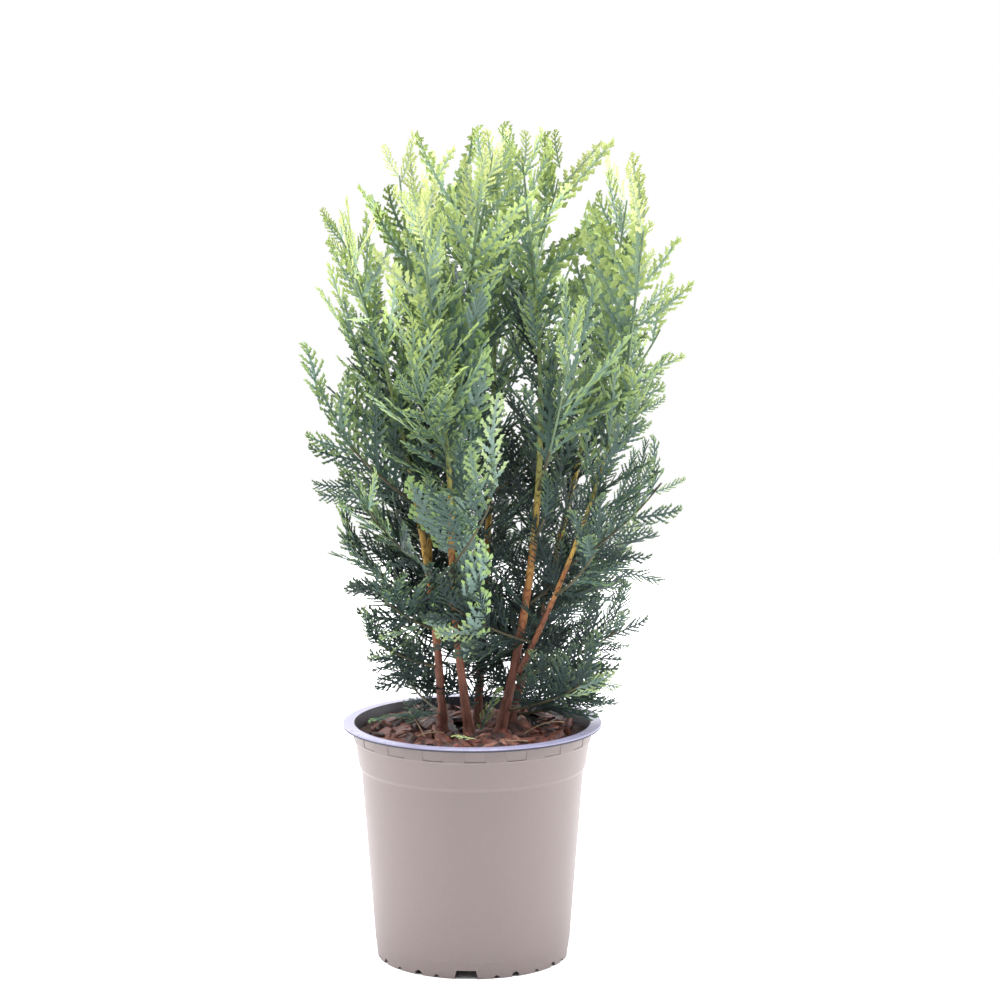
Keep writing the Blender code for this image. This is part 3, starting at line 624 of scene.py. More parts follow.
def grow(obj, tree, values):
    """Runs a tree on an object with these input values, and keeps the mesh that it makes."""
    modifier = obj.modifiers.new(tree.name, "NODES")
    modifier.node_group = tree
    for item in tree.interface.items_tree:
        if item.in_out == "INPUT" and item.name in values:
            modifier[item.identifier] = values[item.name]
    settle(obj)


def pick_shapes(tree, given, socket):
    """The shapes of a collection, as instances to pick from."""
    apart = {"Separate Children": True, "Reset Children": True}
    shapes = add_node(tree, "GeometryNodeCollectionInfo", apart)
    tree.links.new(given.outputs[socket], shapes.inputs["Collection"])
    return shapes.outputs[0]


def random_value(tree, given, kind, low, high, offset):
    """A random value for each point, seeded by the tree's own seed plus an offset."""
    value = add_node(tree, "FunctionNodeRandomValue", data_type=kind)
    active = [socket for socket in value.inputs if socket.enabled]
    named = {socket.name: socket for socket in active}
    named["Min"].default_value = low
    named["Max"].default_value = high
    seed = add_node(tree, "ShaderNodeMath", {1: offset})
    tree.links.new(given.outputs["Seed"], seed.inputs[0])
    tree.links.new(seed.outputs[0], named["Seed"])
    return next(socket for socket in value.outputs if socket.enabled)


def strew_tree():
    """Strews shapes over a surface, each turned and tipped at random."""
    inputs = (
        ("Shapes", "NodeSocketCollection"),
        ("Spacing", "NodeSocketFloat"),
        ("Seed", "NodeSocketInt"),
        ("Finish", "NodeSocketMaterial"),
    )
    tree, given, made = new_tree("strew_chips", inputs)
    scatter = add_node(tree, "GeometryNodeDistributePointsOnFaces", distribute_method="POISSON")
    scatter.inputs["Density Max"].default_value = MOST_CHIPS
    place = add_node(tree, "GeometryNodeInstanceOnPoints", {"Pick Instance": True})
    turn = add_node(tree, "FunctionNodeEulerToRotation")
    real = add_node(tree, "GeometryNodeRealizeInstances")
    paint = add_node(tree, "GeometryNodeSetMaterial")
    tilt = (CHIP_TILT, CHIP_TILT, math.pi)
    euler = random_value(tree, given, "FLOAT_VECTOR", tuple(-a for a in tilt), tilt, 1)
    pick = random_value(tree, given, "INT", 0, CHIP_SHAPES - 1, 2)
    tree.links.new(pick_shapes(tree, given, "Shapes"), place.inputs["Instance"])
    tree.links.new(pick, place.inputs["Instance Index"])
    tree.links.new(euler, turn.inputs["Euler"])
    join_sockets(
        tree,
        (given, "Geometry", scatter, "Mesh"),
        (given, "Spacing", scatter, "Distance Min"),
        (given, "Seed", scatter, "Seed"),
        (scatter, "Points", place, "Points"),
        (turn, "Rotation", place, "Rotation"),
        (place, "Instances", real, "Geometry"),
        (real, "Geometry", paint, "Geometry"),
        (given, "Finish", paint, "Material"),
        (paint, "Geometry", made, "Geometry"),
    )
    return tree


def strewn_chips(kind, tree, shapes):
    """The chips of one brown, strewn over a disc just above the bed of crumbs."""
    spacing, seed = CHIP_KINDS[kind]
    finish, height = skin(f"bark_{kind}"), MULCH_TOP + CHIP_LIFT
    points = [ring_point(CHIP_REACH, turn, height) for turn in turns_round(BED_SIDES)]
    chips = add_solid(f"mulch_chips_{kind}", points, [tuple(range(BED_SIDES))], finish)
    values = {"Shapes": shapes, "Spacing": spacing, "Seed": seed, "Finish": finish}
    grow(chips, tree, values)
    chips.data.shade_smooth()
    chips.data.set_sharp_from_angle(angle=CHIP_SHARP)
    return chips


bed = mulch_bed(skin("mulch_crumbs"))
chip_rng = random.Random(CHIP_SEED)
chip_shapes = bpy.data.collections.new("chip_shapes")
for k in range(CHIP_SHAPES):
    chip_shapes.objects.link(chip_shape(f"chip_{k}", chip_rng))
strew = strew_tree()
for piece in [bed, *(strewn_chips(kind, strew, chip_shapes) for kind in CHIP_KINDS)]:
    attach(piece, "root")
    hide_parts("bark_mulch")
discard(chip_shapes.objects)

# A few dry stalks have fallen on the mulch. Each is a thin round straw, bowed a little upward,
# and lies loose where it fell.
STRAWS = (
    ((-0.030, -0.032, 0.1515), (-0.041, -0.012, 0.1650), 0.0010),
    ((-0.040, -0.036, 0.1515), (-0.018, -0.034, 0.1560), 0.0020),
    ((0.034, -0.020, 0.1520), (0.060, -0.008, 0.1570), 0.0030),
    ((0.008, -0.052, 0.1515), (0.036, -0.046, 0.1530), 0.0015),
)
STRAW_R = 0.0004
STRAW_SIDES = 5
STRAW_STEPS = 10


def tube(path, radii, sides, lift=None):
    """Points and faces of a closed tapering tube round a path; lift shapes its surface."""
    points, faces = [], []
    side = Vector((1, 0, 0))
    for k, centre in enumerate(path):
        before, after = path[max(k - 1, 0)], path[min(k + 1, len(path) - 1)]
        ahead = (after - before).normalized()
        side = square_to(ahead, side)
        other = ahead.cross(side)
        for turn in turns_round(sides):
            reach = radii[k] * (1 + lift(k, turn)) if lift else radii[k]
            points.append(centre + (side * math.cos(turn) + other * math.sin(turn)) * reach)
    for k in range(len(path) - 1):
        for j in range(sides):
            a, b = k * sides + j, k * sides + (j + 1) % sides
            faces.append((a, b, b + sides, a + sides))
    faces.append(tuple(range(sides - 1, -1, -1)))
    top = (len(path) - 1) * sides
    faces.append(tuple(range(top, top + sides)))
    return points, faces


def join_shapes(shapes):
    """One list of points and faces from several."""
    points, faces = [], []
    for more_points, more_faces in shapes:
        start = len(points)
        points += more_points
        faces += [tuple(k + start for k in face) for face in more_faces]
    return points, faces


def straw(start, end, sag):
    """A dry stalk lying on the mulch, bowed upward."""
    path = []
    for k in range(STRAW_STEPS + 1):
        t = k / STRAW_STEPS
        path.append(Vector(start).lerp(Vector(end), t) + Vector((0, 0, 4 * sag * t * (1 - t))))
    return tube(path, [STRAW_R] * len(path), STRAW_SIDES)


straw_shapes = join_shapes(straw(*place) for place in STRAWS)
straws = add_solid("mulch_straws", *straw_shapes, skin("dry_straw"))
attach(straws, "root")
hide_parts("bark_mulch")

# Five stems rise from one root and three of them fork. Their bark is flaky and red-brown at the
# foot, orange and olive with rings of pointed scales higher up, and green near the tips.
GAP = 0.0003
STEM_FLARE = 0.0018
FLARE_HEIGHT = 0.010
FLARE_SHARES = (0.0, 0.012, 0.03, 0.06, 0.12)
LIMB_TAPER = 0.8
LIMB_STEPS = 8
PATH_STEPS = 40
STEM_SIDES = 6
BOUGH_SIDES = 5
SEAT_REACH = 0.030
SEAT_TRIES = 12
STEMS = {
    "left": ((-0.019, -0.008), (-0.074, -0.014, 0.455), (0.011, -0.004), (0.0031, 0.0010)),
    "middle": ((-0.001, -0.014), (0.005, -0.030, 0.478), (-0.015, -0.004), (0.0033, 0.0010)),
    "right": ((0.0175, -0.004), (0.0375, -0.016, 0.470), (0.015, 0.000), (0.0034, 0.0010)),
    "rear_right": ((0.023, 0.013), (0.092, 0.036, 0.430), (0.004, 0.004), (0.0030, 0.0009)),
    "rear": ((0.003, 0.017), (0.016, 0.062, 0.462), (0.002, 0.004), (0.0031, 0.0010)),
}
BOUGHS = {
    "left_fork": ("left", 0.34, (-0.040, 0.030, 0.440), (0.004, 0.006), (0.0019, 0.0008)),
    "right_fork": ("right", 0.09, (0.098, -0.034, 0.385), (0.006, -0.006), (0.0020, 0.0008)),
    "front_fork": ("middle", 0.42, (-0.024, -0.068, 0.425), (0.002, -0.004), (0.0017, 0.0008)),
}
BARK_SIDES = 22
BARK_RING = 0.0011
FLAKY_TO = 0.105
FLAKE_LIFT = 0.34
FLAKE_GRAIN = (2.4, 75.0)
FLAKE_FRACTAL = (0.8, 2.1, 4)
FLAKE_LEVEL = 0.35
FURROW_GAIN = 1.2
SCALE_PITCH = 0.0078
SCALE_LIFT = 0.16
SCALE_POINT = 0.55
SCALE_FALL = 1.5
SCALE_RISE = 8
SCALE_LEVEL = 0.3
BARK_SINK = 0.0012
BARK_TONES = (
    (0.150, (0.230, 0.092, 0.062)),
    (0.200, (0.240, 0.082, 0.048)),
    (0.240, (0.420, 0.160, 0.055)),
    (0.280, (0.600, 0.370, 0.080)),
    (0.320, (0.380, 0.360, 0.090)),
    (0.360, (0.200, 0.280, 0.100)),
    (0.480, (0.140, 0.240, 0.110)),
)
FURROW_SHADE = 0.85
FURROW_BROWN = (0.075, 0.026, 0.014)
BOUGH_FLAKY = 0.3
FLAKE_SEED = 90
SCALE_EDGE = 0.16
FIBRE_SHARE = 0.75
DRIFT_SCALE = 45.0
DRIFT = 0.12


def limb_path(foot, tip, bow):
    """Points from foot to tip, bowed sideways the most at half height."""
    path = []
    for k in range(PATH_STEPS + 1):
        t = k / PATH_STEPS
        sag = 4 * t * (1 - t)
        path.append(foot.lerp(tip, t) + Vector((bow[0] * sag, bow[1] * sag, 0)))
    return path


def path_at(path, share):
    """The point and direction at a share of the way along a path of equal steps."""
    place = min(max(share, 0.0), 1.0) * (len(path) - 1)
    k = min(int(place), len(path) - 2)
    point = path[k].lerp(path[k + 1], place - k)
    return point, (path[k + 1] - path[k]).normalized()


def limb_radius(limb, share):
    """A limb's radius at a share of its length, with a stem's flare at its foot."""
    foot_r, tip_r = limb["radii"]
    plain = foot_r + (tip_r - foot_r) * share**LIMB_TAPER
    if limb["flare"]:
        height = share * (limb["path"][-1].z - limb["path"][0].z)
        plain += STEM_FLARE * math.exp(-height / FLARE_HEIGHT)
    return plain


def limb_shape(limb):
    """The solid's own tube for a limb, which the twigs are seated against."""
    low = FLARE_SHARES[-1] if limb["flare"] else 0.0
    shares = list(FLARE_SHARES[:-1]) if limb["flare"] else []
    shares += [low + (1 - low) * k / LIMB_STEPS for k in range(LIMB_STEPS + 1)]
    path = [path_at(limb["path"], share)[0] for share in shares]
    radii = [limb_radius(limb, share) for share in shares]
    return tube(path, radii, limb["sides"])


def clearance(shape, tree):
    """The least distance from a shape's corners and sides to a solid, negative inside it."""
    points, faces = shape
    middles = [(points[a] + points[b]) / 2 for face in faces for a, b in zip(face, face[1:])]
    least = math.inf
    for point in points + middles:
        near, normal, _, distance = tree.find_nearest(point)
        least = min(least, distance if (point - near).dot(normal) > 0 else -distance)
    return least


def seat(tree, base, ahead, shape_from):
    """The start, out along ahead from base, at which a limb or twig stands clear by the gap."""
    low, high = 0.0, SEAT_REACH
    for _ in range(SEAT_TRIES):
        middle = (low + high) / 2
        if clearance(shape_from(base + ahead * middle), tree) < GAP:
            low = middle
        else:
            high = middle
    return base + ahead * high


def tree_of(points, faces):
    """A search tree over a shape, for its distance from others."""
    return BVHTree.FromPolygons([tuple(p) for p in points], faces)


def plan_limbs():
    """The path and radius of every stem and bough."""
    limbs = {}
    ground = MULCH_TOP + GAP
    for name, (foot, tip, bow, radii) in STEMS.items():
        path = limb_path(Vector((*foot, ground)), Vector(tip), bow)
        limbs[name] = {"path": path, "radii": radii, "flare": True, "sides": STEM_SIDES}
    for name, (parent, share, tip, bow, radii) in BOUGHS.items():
        base, _ = path_at(limbs[parent]["path"], share)
        limb = {"path": [], "radii": radii, "flare": False, "sides": BOUGH_SIDES}

        def shape_from(start):
            limb["path"] = limb_path(start, Vector(tip), bow)
            return limb_shape(limb)

        ahead = (limb_path(base, Vector(tip), bow)[2] - base).normalized()
        shape_from(seat(tree_of(*limb_shape(limbs[parent])), base, ahead, shape_from))
        limbs[name] = limb
    return limbs


def smooth_step(value):
    """Eases from 0 to 1 as a value does, and stays there outside them."""
    value = min(max(value, 0.0), 1.0)
    return value * value * (3 - 2 * value)


def bark_relief(limb, share, turn):
    """How far the bark stands out and how dark it is: torn flakes at the foot, rings of pointed
    scales above, with a brown edge round each."""
    start = limb["path"][0]
    height = share * (limb["path"][-1] - start).length
    flaky = 1 - smooth_step((start.z - MULCH_TOP + height) / FLAKY_TO)
    if not limb["flare"]:
        flaky *= BOUGH_FLAKY
    around = Vector((math.cos(turn), math.sin(turn), 0)) * FLAKE_GRAIN[0] + start * FLAKE_SEED
    torn = noise.fractal(around + Vector((0, 0, height * FLAKE_GRAIN[1])), *FLAKE_FRACTAL)
    row = height / SCALE_PITCH
    pair = math.floor(row) % 2
    leaf = abs(math.sin(turn + pair * math.pi / 2))
    into = (row + SCALE_POINT * leaf) % 1.0
    scale = (1 - into) ** SCALE_FALL * smooth_step(into * SCALE_RISE)
    flakes = FLAKE_LIFT * flaky * (torn - FLAKE_LEVEL)
    scales = SCALE_LIFT * (1 - flaky) * (scale - SCALE_LEVEL)
    furrow = flaky * smooth_step(FLAKE_LEVEL - FURROW_GAIN * torn)
    edge = (1 - flaky) * (1 - smooth_step(min(into, 1 - into) / SCALE_EDGE))
    return flakes + scales, max(furrow, edge)


def bark_finish():
    """Bark coloured by height, darker in its furrows, with a fine fibrous relief."""
    fibres = skin("bark")
    tree = fibres.node_tree
    shader, mottle = tree.nodes["Principled BSDF"], tree.nodes["mottle"]
    low, high = BARK_TONES[0][0], BARK_TONES[-1][0]
    place = add_node(tree, "ShaderNodeTexCoord")
    split = add_node(tree, "ShaderNodeSeparateXYZ")
    drift = add_node(tree, "ShaderNodeTexNoise", {"Scale": DRIFT_SCALE})
    shift = add_node(tree, "ShaderNodeMath", {1: DRIFT}, operation="MULTIPLY_ADD")
    reach = {"From Min": low + DRIFT / 2, "From Max": high + DRIFT / 2}
    rise = add_node(tree, "ShaderNodeMapRange", reach)
    tones = add_node(tree, "ShaderNodeValToRGB")
    ramp = tones.color_ramp
    ramp.elements[0].color = (*BARK_TONES[0][1], 1.0)
    ramp.elements[-1].position = 1.0
    ramp.elements[-1].color = (*BARK_TONES[-1][1], 1.0)
    for z, colour in BARK_TONES[1:-1]:
        ramp.elements.new((z - low) / (high - low)).color = (*colour, 1.0)
    furrow = add_node(tree, "ShaderNodeAttribute", attribute_name="furrow")
    brown = {"B": (*FURROW_BROWN, 1.0)}
    shade = add_node(tree, "ShaderNodeMix", brown, data_type="RGBA")
    share = {"Factor": FIBRE_SHARE}
    weave = add_node(tree, "ShaderNodeMix", share, data_type="RGBA", blend_type="MULTIPLY")
    join_sockets(
        tree,
        (place, "Object", split, "Vector"),
        (place, "Object", drift, "Vector"),
        (drift, "Fac", shift, 0),
        (split, "Z", shift, 2),
        (shift, 0, rise, "Value"),
        (rise, "Result", tones, "Fac"),
        (tones, "Color", weave, "A"),
        (mottle, "Color", weave, "B"),
        (furrow, "Fac", shade, "Factor"),
        (weave, "Result", shade, "A"),
        (shade, "Result", shader, "Base Color"),
    )
    return fibres


def bark_mesh(name, limb, finish):
    """One limb's bark, from just inside what it grows from to its tip."""
    length = (limb["path"][-1] - limb["path"][0]).length
    rings = int(length / BARK_RING)
    shares = [k / rings for k in range(rings + 1)]
    path = [path_at(limb["path"], share)[0] for share in shares]
    path[0] = path[0] - (path[1] - path[0]).normalized() * BARK_SINK
    radii = [limb_radius(limb, share) for share in shares]
    furrows = []

    def lift(k, turn):
        stand, dark = bark_relief(limb, shares[k], turn)
        furrows.append(dark * FURROW_SHADE)
        return stand

    bark = add_solid(name, *tube(path, radii, BARK_SIDES, lift), finish)
    set_attribute(bark, "furrow", "FLOAT", "POINT", furrows)
    return bark


limbs = plan_limbs()
bark_skin = bark_finish()
for limb_name, limb in limbs.items():
    kind = "stem" if limb["flare"] else "bough"
    piece = bark_mesh(f"bark_{limb_name}", limb, bark_skin)
    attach(piece, "root")
    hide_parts(f"{kind}_{limb_name}")

# Each mass of foliage hangs on one twig, thin and whippy, brown-green, which leaves its limb
# at a slant and curves up to the crown's edge. The rule is the solids' own.
CROWN_AXIS_X = 0.0160
CROWN_R = 0.1225
CROWN_DEPTH = 0.90
CROWN_WIDEST_Z = 0.400
CROWN_TOP = 0.544
CROWN_LOWER_REACH = 0.274
SHOULDER_POWER = 2.8
SKIRT_Z = 0.168
SHOULDER_Z = 0.468
OUTER_COUNT = 31
INNER_COUNT = 10
INNER_REACH = 0.55
INNER_LOW_Z = 0.215
INNER_TOP_Z = 0.455
CAP_SHARE = 0.20
GOLDEN_TURN = math.radians(137.508)
FIRST_TURN = math.radians(12.0)
FRONT_TURN = math.radians(-90.0)
OPEN_HALF_WIDTH = math.radians(34.0)
OPEN_TOP_Z = 0.330
RISE_LOW = math.radians(20.0)
RISE_HIGH = math.radians(70.0)
CURVE_IN = math.radians(12.0)
CURVE_OUT = math.radians(14.0)
CURVE_REACH = 0.36
TWIG_R = (0.00125, 0.00045)
TWIG_STEPS = 4
TWIG_END = 0.72
TWIST_SIDE = math.radians(12.0)
TWIST_FRONT = math.radians(62.0)
TWIST_LOOSE = math.radians(14.0)
TOP_LOOSE = math.radians(40.0)
TOP_LENGTH = 0.06
SHORTEST_TWIG = 0.058
ROOT_PLACES = 60
SLOPE_WEIGHT = 2.5
ROOT_SPACING = 0.06
CROWDING = 0.060
SEED = 41
FINE_TWIG_R = (0.00100, 0.00040)
FINE_TWIG_SIDES = 6
FINE_TWIG_STEPS = 44
KNOT_LIFT = 0.22
KNOT_EVERY = 4
FINE_TWIG_SINK = 0.4
FINE_TWIG_END = 0.80
FINE_TWIG_CUT = 0.04
HOLLOW_LOW = Vector((0.012, -0.200, 0.205))
HOLLOW_HIGH = Vector((0.066, -0.030, 0.405))
GREEN_TWIG_Z = 0.340


def crown_radius(z):
    """How far the foliage reaches from the crown's axis at a height, along X."""
    if z < CROWN_WIDEST_Z:
        fall = (CROWN_WIDEST_Z - z) / CROWN_LOWER_REACH
        return CROWN_R * math.sqrt(max(1 - fall * fall, 0.0))
    rise = min((z - CROWN_WIDEST_Z) / (CROWN_TOP - CROWN_WIDEST_Z), 1.0)
    return CROWN_R * (1 - rise**SHOULDER_POWER) ** (1 / SHOULDER_POWER)


def crown_share(point):
    """The point's distance from the crown's axis, as a share of the reach at its height."""
    reach = max(crown_radius(point.z), 1e-6)
    return math.hypot(point.x - CROWN_AXIS_X, point.y / CROWN_DEPTH) / reach


def off_front(turn):
    """How far a turn is from the front, from minus half a turn to half a turn."""
    return (turn - FRONT_TURN + math.pi) % (2 * math.pi) - math.pi


def clear_of_front(turn, z):
    """Turns a low tip away from the front, where the bare feet of the stems show."""
    off = off_front(turn)
    if abs(off) < OPEN_HALF_WIDTH and z < OPEN_TOP_Z:
        return turn + math.copysign(OPEN_HALF_WIDTH, off)
    return turn


def crown_point(turn, reach, z):
    """The point at a turn about the crown's axis, a reach from it, and a height."""
    x = CROWN_AXIS_X + reach * math.cos(turn)
    return Vector((x, CROWN_DEPTH * reach * math.sin(turn), z))


def height_share(z):
    """A height as a share of the way from the crown's skirt to its top."""
    return (z - SKIRT_Z) / (CROWN_TOP - SKIRT_Z)


def dome_height(reach):
    """The height of the crown's top at a distance from its axis."""
    share = min(reach / CROWN_R, 0.999)
    rise = (1 - share**SHOULDER_POWER) ** (1 / SHOULDER_POWER)
    return CROWN_WIDEST_Z + (CROWN_TOP - CROWN_WIDEST_Z) * rise


def outer_tips():
    """Where the outer masses end: evenly spread over the crown's sides and its flat top."""
    tips = []
    for k in range(OUTER_COUNT):
        share = (k + 0.5) / OUTER_COUNT
        turn = FIRST_TURN + k * GOLDEN_TURN
        if share < 1 - CAP_SHARE:
            z = SKIRT_Z + (SHOULDER_Z - SKIRT_Z) * share / (1 - CAP_SHARE)
            tips.append(crown_point(clear_of_front(turn, z), crown_radius(z), z))
        else:
            reach = crown_radius(SHOULDER_Z) * math.sqrt((1 - share) / CAP_SHARE)
            tips.append(crown_point(turn, reach, dome_height(reach)))
    return tips


def inner_tips():
    """Where the inner masses end, which fill the crown round its axis."""
    tips = []
    for k in range(INNER_COUNT):
        share = (k + 0.5) / INNER_COUNT
        z = INNER_LOW_Z + (INNER_TOP_Z - INNER_LOW_Z) * share
        turn = FIRST_TURN + (k + 0.5) * GOLDEN_TURN
        tips.append(crown_point(clear_of_front(turn, z), INNER_REACH * crown_radius(z), z))
    return tips


def ranked_roots(tip, taken):
    """Limbs and shares along them, those first from which a twig rises to its tip at its slope."""
    slope = math.tan(RISE_LOW + (RISE_HIGH - RISE_LOW) * height_share(tip.z))
    ranked = []
    for name, limb in limbs.items():
        for k in range(2, ROOT_PLACES - 1):
            share = k / ROOT_PLACES
            point, _ = path_at(limb["path"], share)
            if (tip - point).length < SHORTEST_TWIG:
                continue
            out = math.hypot(tip.x - point.x, tip.y - point.y)
            miss = abs((tip.z - point.z) - slope * out)
            near = min((abs(share - other) for other in taken[name]), default=1.0)
            crowded = max(0.0, 1 - near / ROOT_SPACING)
            ranked.append((out + SLOPE_WEIGHT * miss + CROWDING * crowded, name, share))
    return sorted(ranked)


def bezier(a, b, c, d, t):
    """The point at a share of a cubic curve with these four controls."""
    s = 1 - t
    return a * s**3 + b * 3 * s * s * t + c * 3 * s * t * t + d * t**3


def twig_path(root, tip):
    """A twig's curve: it leaves its limb flatter than its chord and ends steeper."""
    chord = tip - root
    level = Vector((chord.x, chord.y, 0))
    out = level.normalized() if level.length > 1e-6 else Vector((1, 0, 0))
    rise = math.atan2(chord.z, level.length)
    low, high = rise - CURVE_IN, min(rise + CURVE_OUT, math.radians(89))
    start = out * math.cos(low) + Vector((0, 0, math.sin(low)))
    end = out * math.cos(high) + Vector((0, 0, math.sin(high)))
    reach = CURVE_REACH * chord.length
    controls = (root, root + start * reach, tip - end * reach, tip)
    return [bezier(*controls, k / PATH_STEPS) for k in range(PATH_STEPS + 1)]


def twig_shape(path, extra=0.0):
    """The solid's own tube for a twig, a little thicker for a test of its clearance."""
    shares = [TWIG_END * k / TWIG_STEPS for k in range(TWIG_STEPS + 1)]
    points = [path_at(path, share)[0] for share in shares]
    return tube(points, [between(TWIG_R, share) + extra for share in shares], 3)


def clear_root(trees, tip, taken):
    """The best limb, share and path for a twig that passes the other limbs and twigs clear."""
    for _, name, share in ranked_roots(tip, taken):
        base, _ = path_at(limbs[name]["path"], share)
        ahead = (twig_path(base, tip)[1] - base).normalized()
        start = seat(trees[name], base, ahead, lambda place: twig_shape(twig_path(place, tip)))
        path = twig_path(start, tip)
        tested = tree_of(*twig_shape(path, GAP / 2))
        if not any(tested.overlap(tree) for tree in trees.values()):
            return name, share, path
    raise ValueError("a tip has no clear root")


def plan_masses():
    """Every mass: its node's name, its twig's path and the twist of its fan about that twig."""
    masses = []
    taken = {name: [] for name in limbs}
    trees = {name: tree_of(*limb_shape(limb)) for name, limb in limbs.items()}
    for k, tip in enumerate(outer_tips() + inner_tips()):
        rng = random.Random(SEED + k)
        limb_name, share, path = clear_root(trees, tip, taken)
        taken[limb_name].append(share)
        name = f"foliage_{limb_name}_{len(taken[limb_name]):02d}"
        trees[name] = tree_of(*twig_shape(path, GAP / 2))
        chord = path[-1] - path[0]
        facing = abs(chord.y) / math.hypot(chord.x, chord.y)
        twist = TWIST_SIDE + (TWIST_FRONT - TWIST_SIDE) * facing
        twist = rng.choice((-1, 1)) * (twist + rng.uniform(-TWIST_LOOSE, TWIST_LOOSE))
        masses.append({"name": name, "path": path, "twist": twist})
    for limb_name, limb in limbs.items():
        rng = random.Random(SEED + len(masses))
        end, ahead = path_at(limb["path"], 1.0)
        start, top = end + ahead * GAP, end + ahead * TOP_LENGTH
        top.z = dome_height(math.hypot(top.x - CROWN_AXIS_X, top.y / CROWN_DEPTH))
        path = [start.lerp(top, j / PATH_STEPS) for j in range(PATH_STEPS + 1)]
        lean = math.atan2(top.y - start.y, top.x - start.x)
        twist = lean + rng.uniform(-TOP_LOOSE, TOP_LOOSE)
        name = f"foliage_{limb_name}_top"
        masses.append({"name": name, "path": path, "twist": twist})
    return masses


def in_hollow(point):
    """True in the gap at the front, right of the middle stem, where the crown's inside shows."""
    return all(low < value < high for low, value, high in zip(HOLLOW_LOW, point, HOLLOW_HIGH))


def fine_twig(mass):
    """A mass's twig, kept out of the hollow, with knots where its sprays leave it."""
    end = FINE_TWIG_END
    while end > FINE_TWIG_CUT and in_hollow(path_at(mass["path"], end)[0]):
        end -= FINE_TWIG_CUT
    shares = [end * k / FINE_TWIG_STEPS for k in range(FINE_TWIG_STEPS + 1)]
    path = [path_at(mass["path"], share)[0] for share in shares]
    path[0] = path[0] - (path[1] - path[0]) * FINE_TWIG_SINK
    radii = [between(FINE_TWIG_R, share) for share in shares]
    return tube(path, radii, FINE_TWIG_SIDES, lambda k, _: KNOT_LIFT * (k % KNOT_EVERY == 0))


masses = plan_masses()
twig_shapes = join_shapes(fine_twig(mass) for mass in masses)
twigs = add_solid("twigs", *twig_shapes, skin("twig_brown"), skin("twig_green"))
for face in twigs.data.polygons:
    face.material_index = int(face.center.z > GREEN_TWIG_Z)
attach(twigs, "root")
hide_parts(*(mass["name"] for mass in masses))

# The foliage is flat sprays of tiny overlapping scale leaves: a middle shoot with side shoots
# to left and right, each toothed with scales, blue-green with lime at the growing tips.
Form = namedtuple("Form", "length count spacing longest tooth half angles blunt")
FORMS = {
    "low": Form(0.068, 3, 0.0044, 0.27, 0.0024, 0.00095, (48, 34), False),
    "short": Form(0.038, 3, 0.0048, 0.33, 0.0027, 0.00115, (46, 34), False),
    "middle": Form(0.056, 4, 0.0056, 0.24, 0.0028, 0.00130, (44, 32), False),
    "top": Form(0.058, 4, 0.0070, 0.20, 0.0033, 0.00170, (44, 32), True),
    "blunt": Form(0.052, 3, 0.0052, 0.32, 0.0029, 0.00145, (46, 34), True),
}
SHOOT_STEPS = 16
SHOOT_SWEEP = (0.10, 0.40)
SHOOT_CUP = (-0.22, 0.22)
SIDE_SHARES = (0.05, 0.97)
SIDE_CURVE = 0.30
SIDE_JITTER = 0.14
SIDE_LOOSE = 0.2
SIDE_TIP = 0.35
SIDE_LENGTHS = (0.62, 1.15)
WIDEST_SHARE = 0.25
WIDEST_FROM = 0.55
END_SHARE = 0.34
LEAF_THICK = 0.00070
NECK = 0.40
TOOTH_LEAD = 1.0
TOOTH_STAGGER = 0.25
TOOTH_TAPER = (1.15, 0.85)
BLUNT_SHARE = 0.45
SPINE_STEP = 0.0038
SPINE_HALF = 0.0010
SPINE_GAIN = 0.2
YOUNG_REACH = 0.008
SPRAYS_PER_MASS = 20
SPRAY_SHARES = (0.04, 0.88)
SPRAY_SPREAD = (math.radians(46.0), math.radians(24.0))
SPRAY_LENGTHS = (0.62, 0.44)
SPRAY_LONGEST = 0.074
SPRAY_SHORTEST = 0.020
SPRAY_TRIM = 0.94
SPRAY_PLACES = (0.2, 0.8)
SPRAY_SIZES = (0.80, 1.12)
HOLLOW_SHARE = 0.7
SPRAY_TILT = 0.55
SPRAY_ROLL = 0.65
SPRAY_PROUD = (0.86, 1.30)
PROUD_POWER = 3.0
PROUD_DROP = 0.42
PROUD_BELOW = 1.07
PROUD_FROM_Z = 0.42
TIP_SPRAY = 0.55
LIMB_SPRAYS = 36
LIMB_SPRAY_SHARES = (0.05, 0.98)
LIMB_SPRAY_SPREAD = (math.radians(60.0), math.radians(24.0))
LIMB_SPRAY_LENGTHS = (0.045, 0.070)
LIMB_SPRAY_TOP = 0.046
LIMB_SPRAY_GAIN = 0.2
BARE_LIMBS = ("left", "middle", "right")
BARE_TOP_Z = 0.335
BARE_HALF_WIDTH = math.radians(100.0)
RIM_CLEAR = 0.004
RIM_TEST_SHARE = 0.6
RIM_TEST_REACH = 0.8
PRESSED_SPRAYS = 15
PRESSED_SHARES = (0.13, 0.80)
PRESSED_SPREAD = (math.radians(38.0), math.radians(18.0))
PRESSED_LENGTHS = (0.042, 0.062)
PRESSED_FORWARD = 0.35
PRESSED_PLACES = (0.3, 0.7)
PRESSED_TURNS = (0.8, 1.2)
PRESSED_LEFT = 4
LOOSE_SPRAYS = {
    "over_rim": ((-0.019, -0.014, 0.164), (-0.070, -0.022, 0.166), "deep"),
    "tuft": ((0.006, -0.022, 0.154), (0.013, -0.031, 0.186), "sea"),
    "fallen": ((0.003, -0.042, 0.1535), (-0.014, -0.046, 0.1565), "fresh"),
}
INNER_SPRAYS = 26
INNER_SHARES = (0.05, 0.80)
INNER_SPREAD = (math.radians(70.0), math.radians(34.0))
INNER_LENGTHS = (0.045, 0.070)
SPRAY_SEED = 900
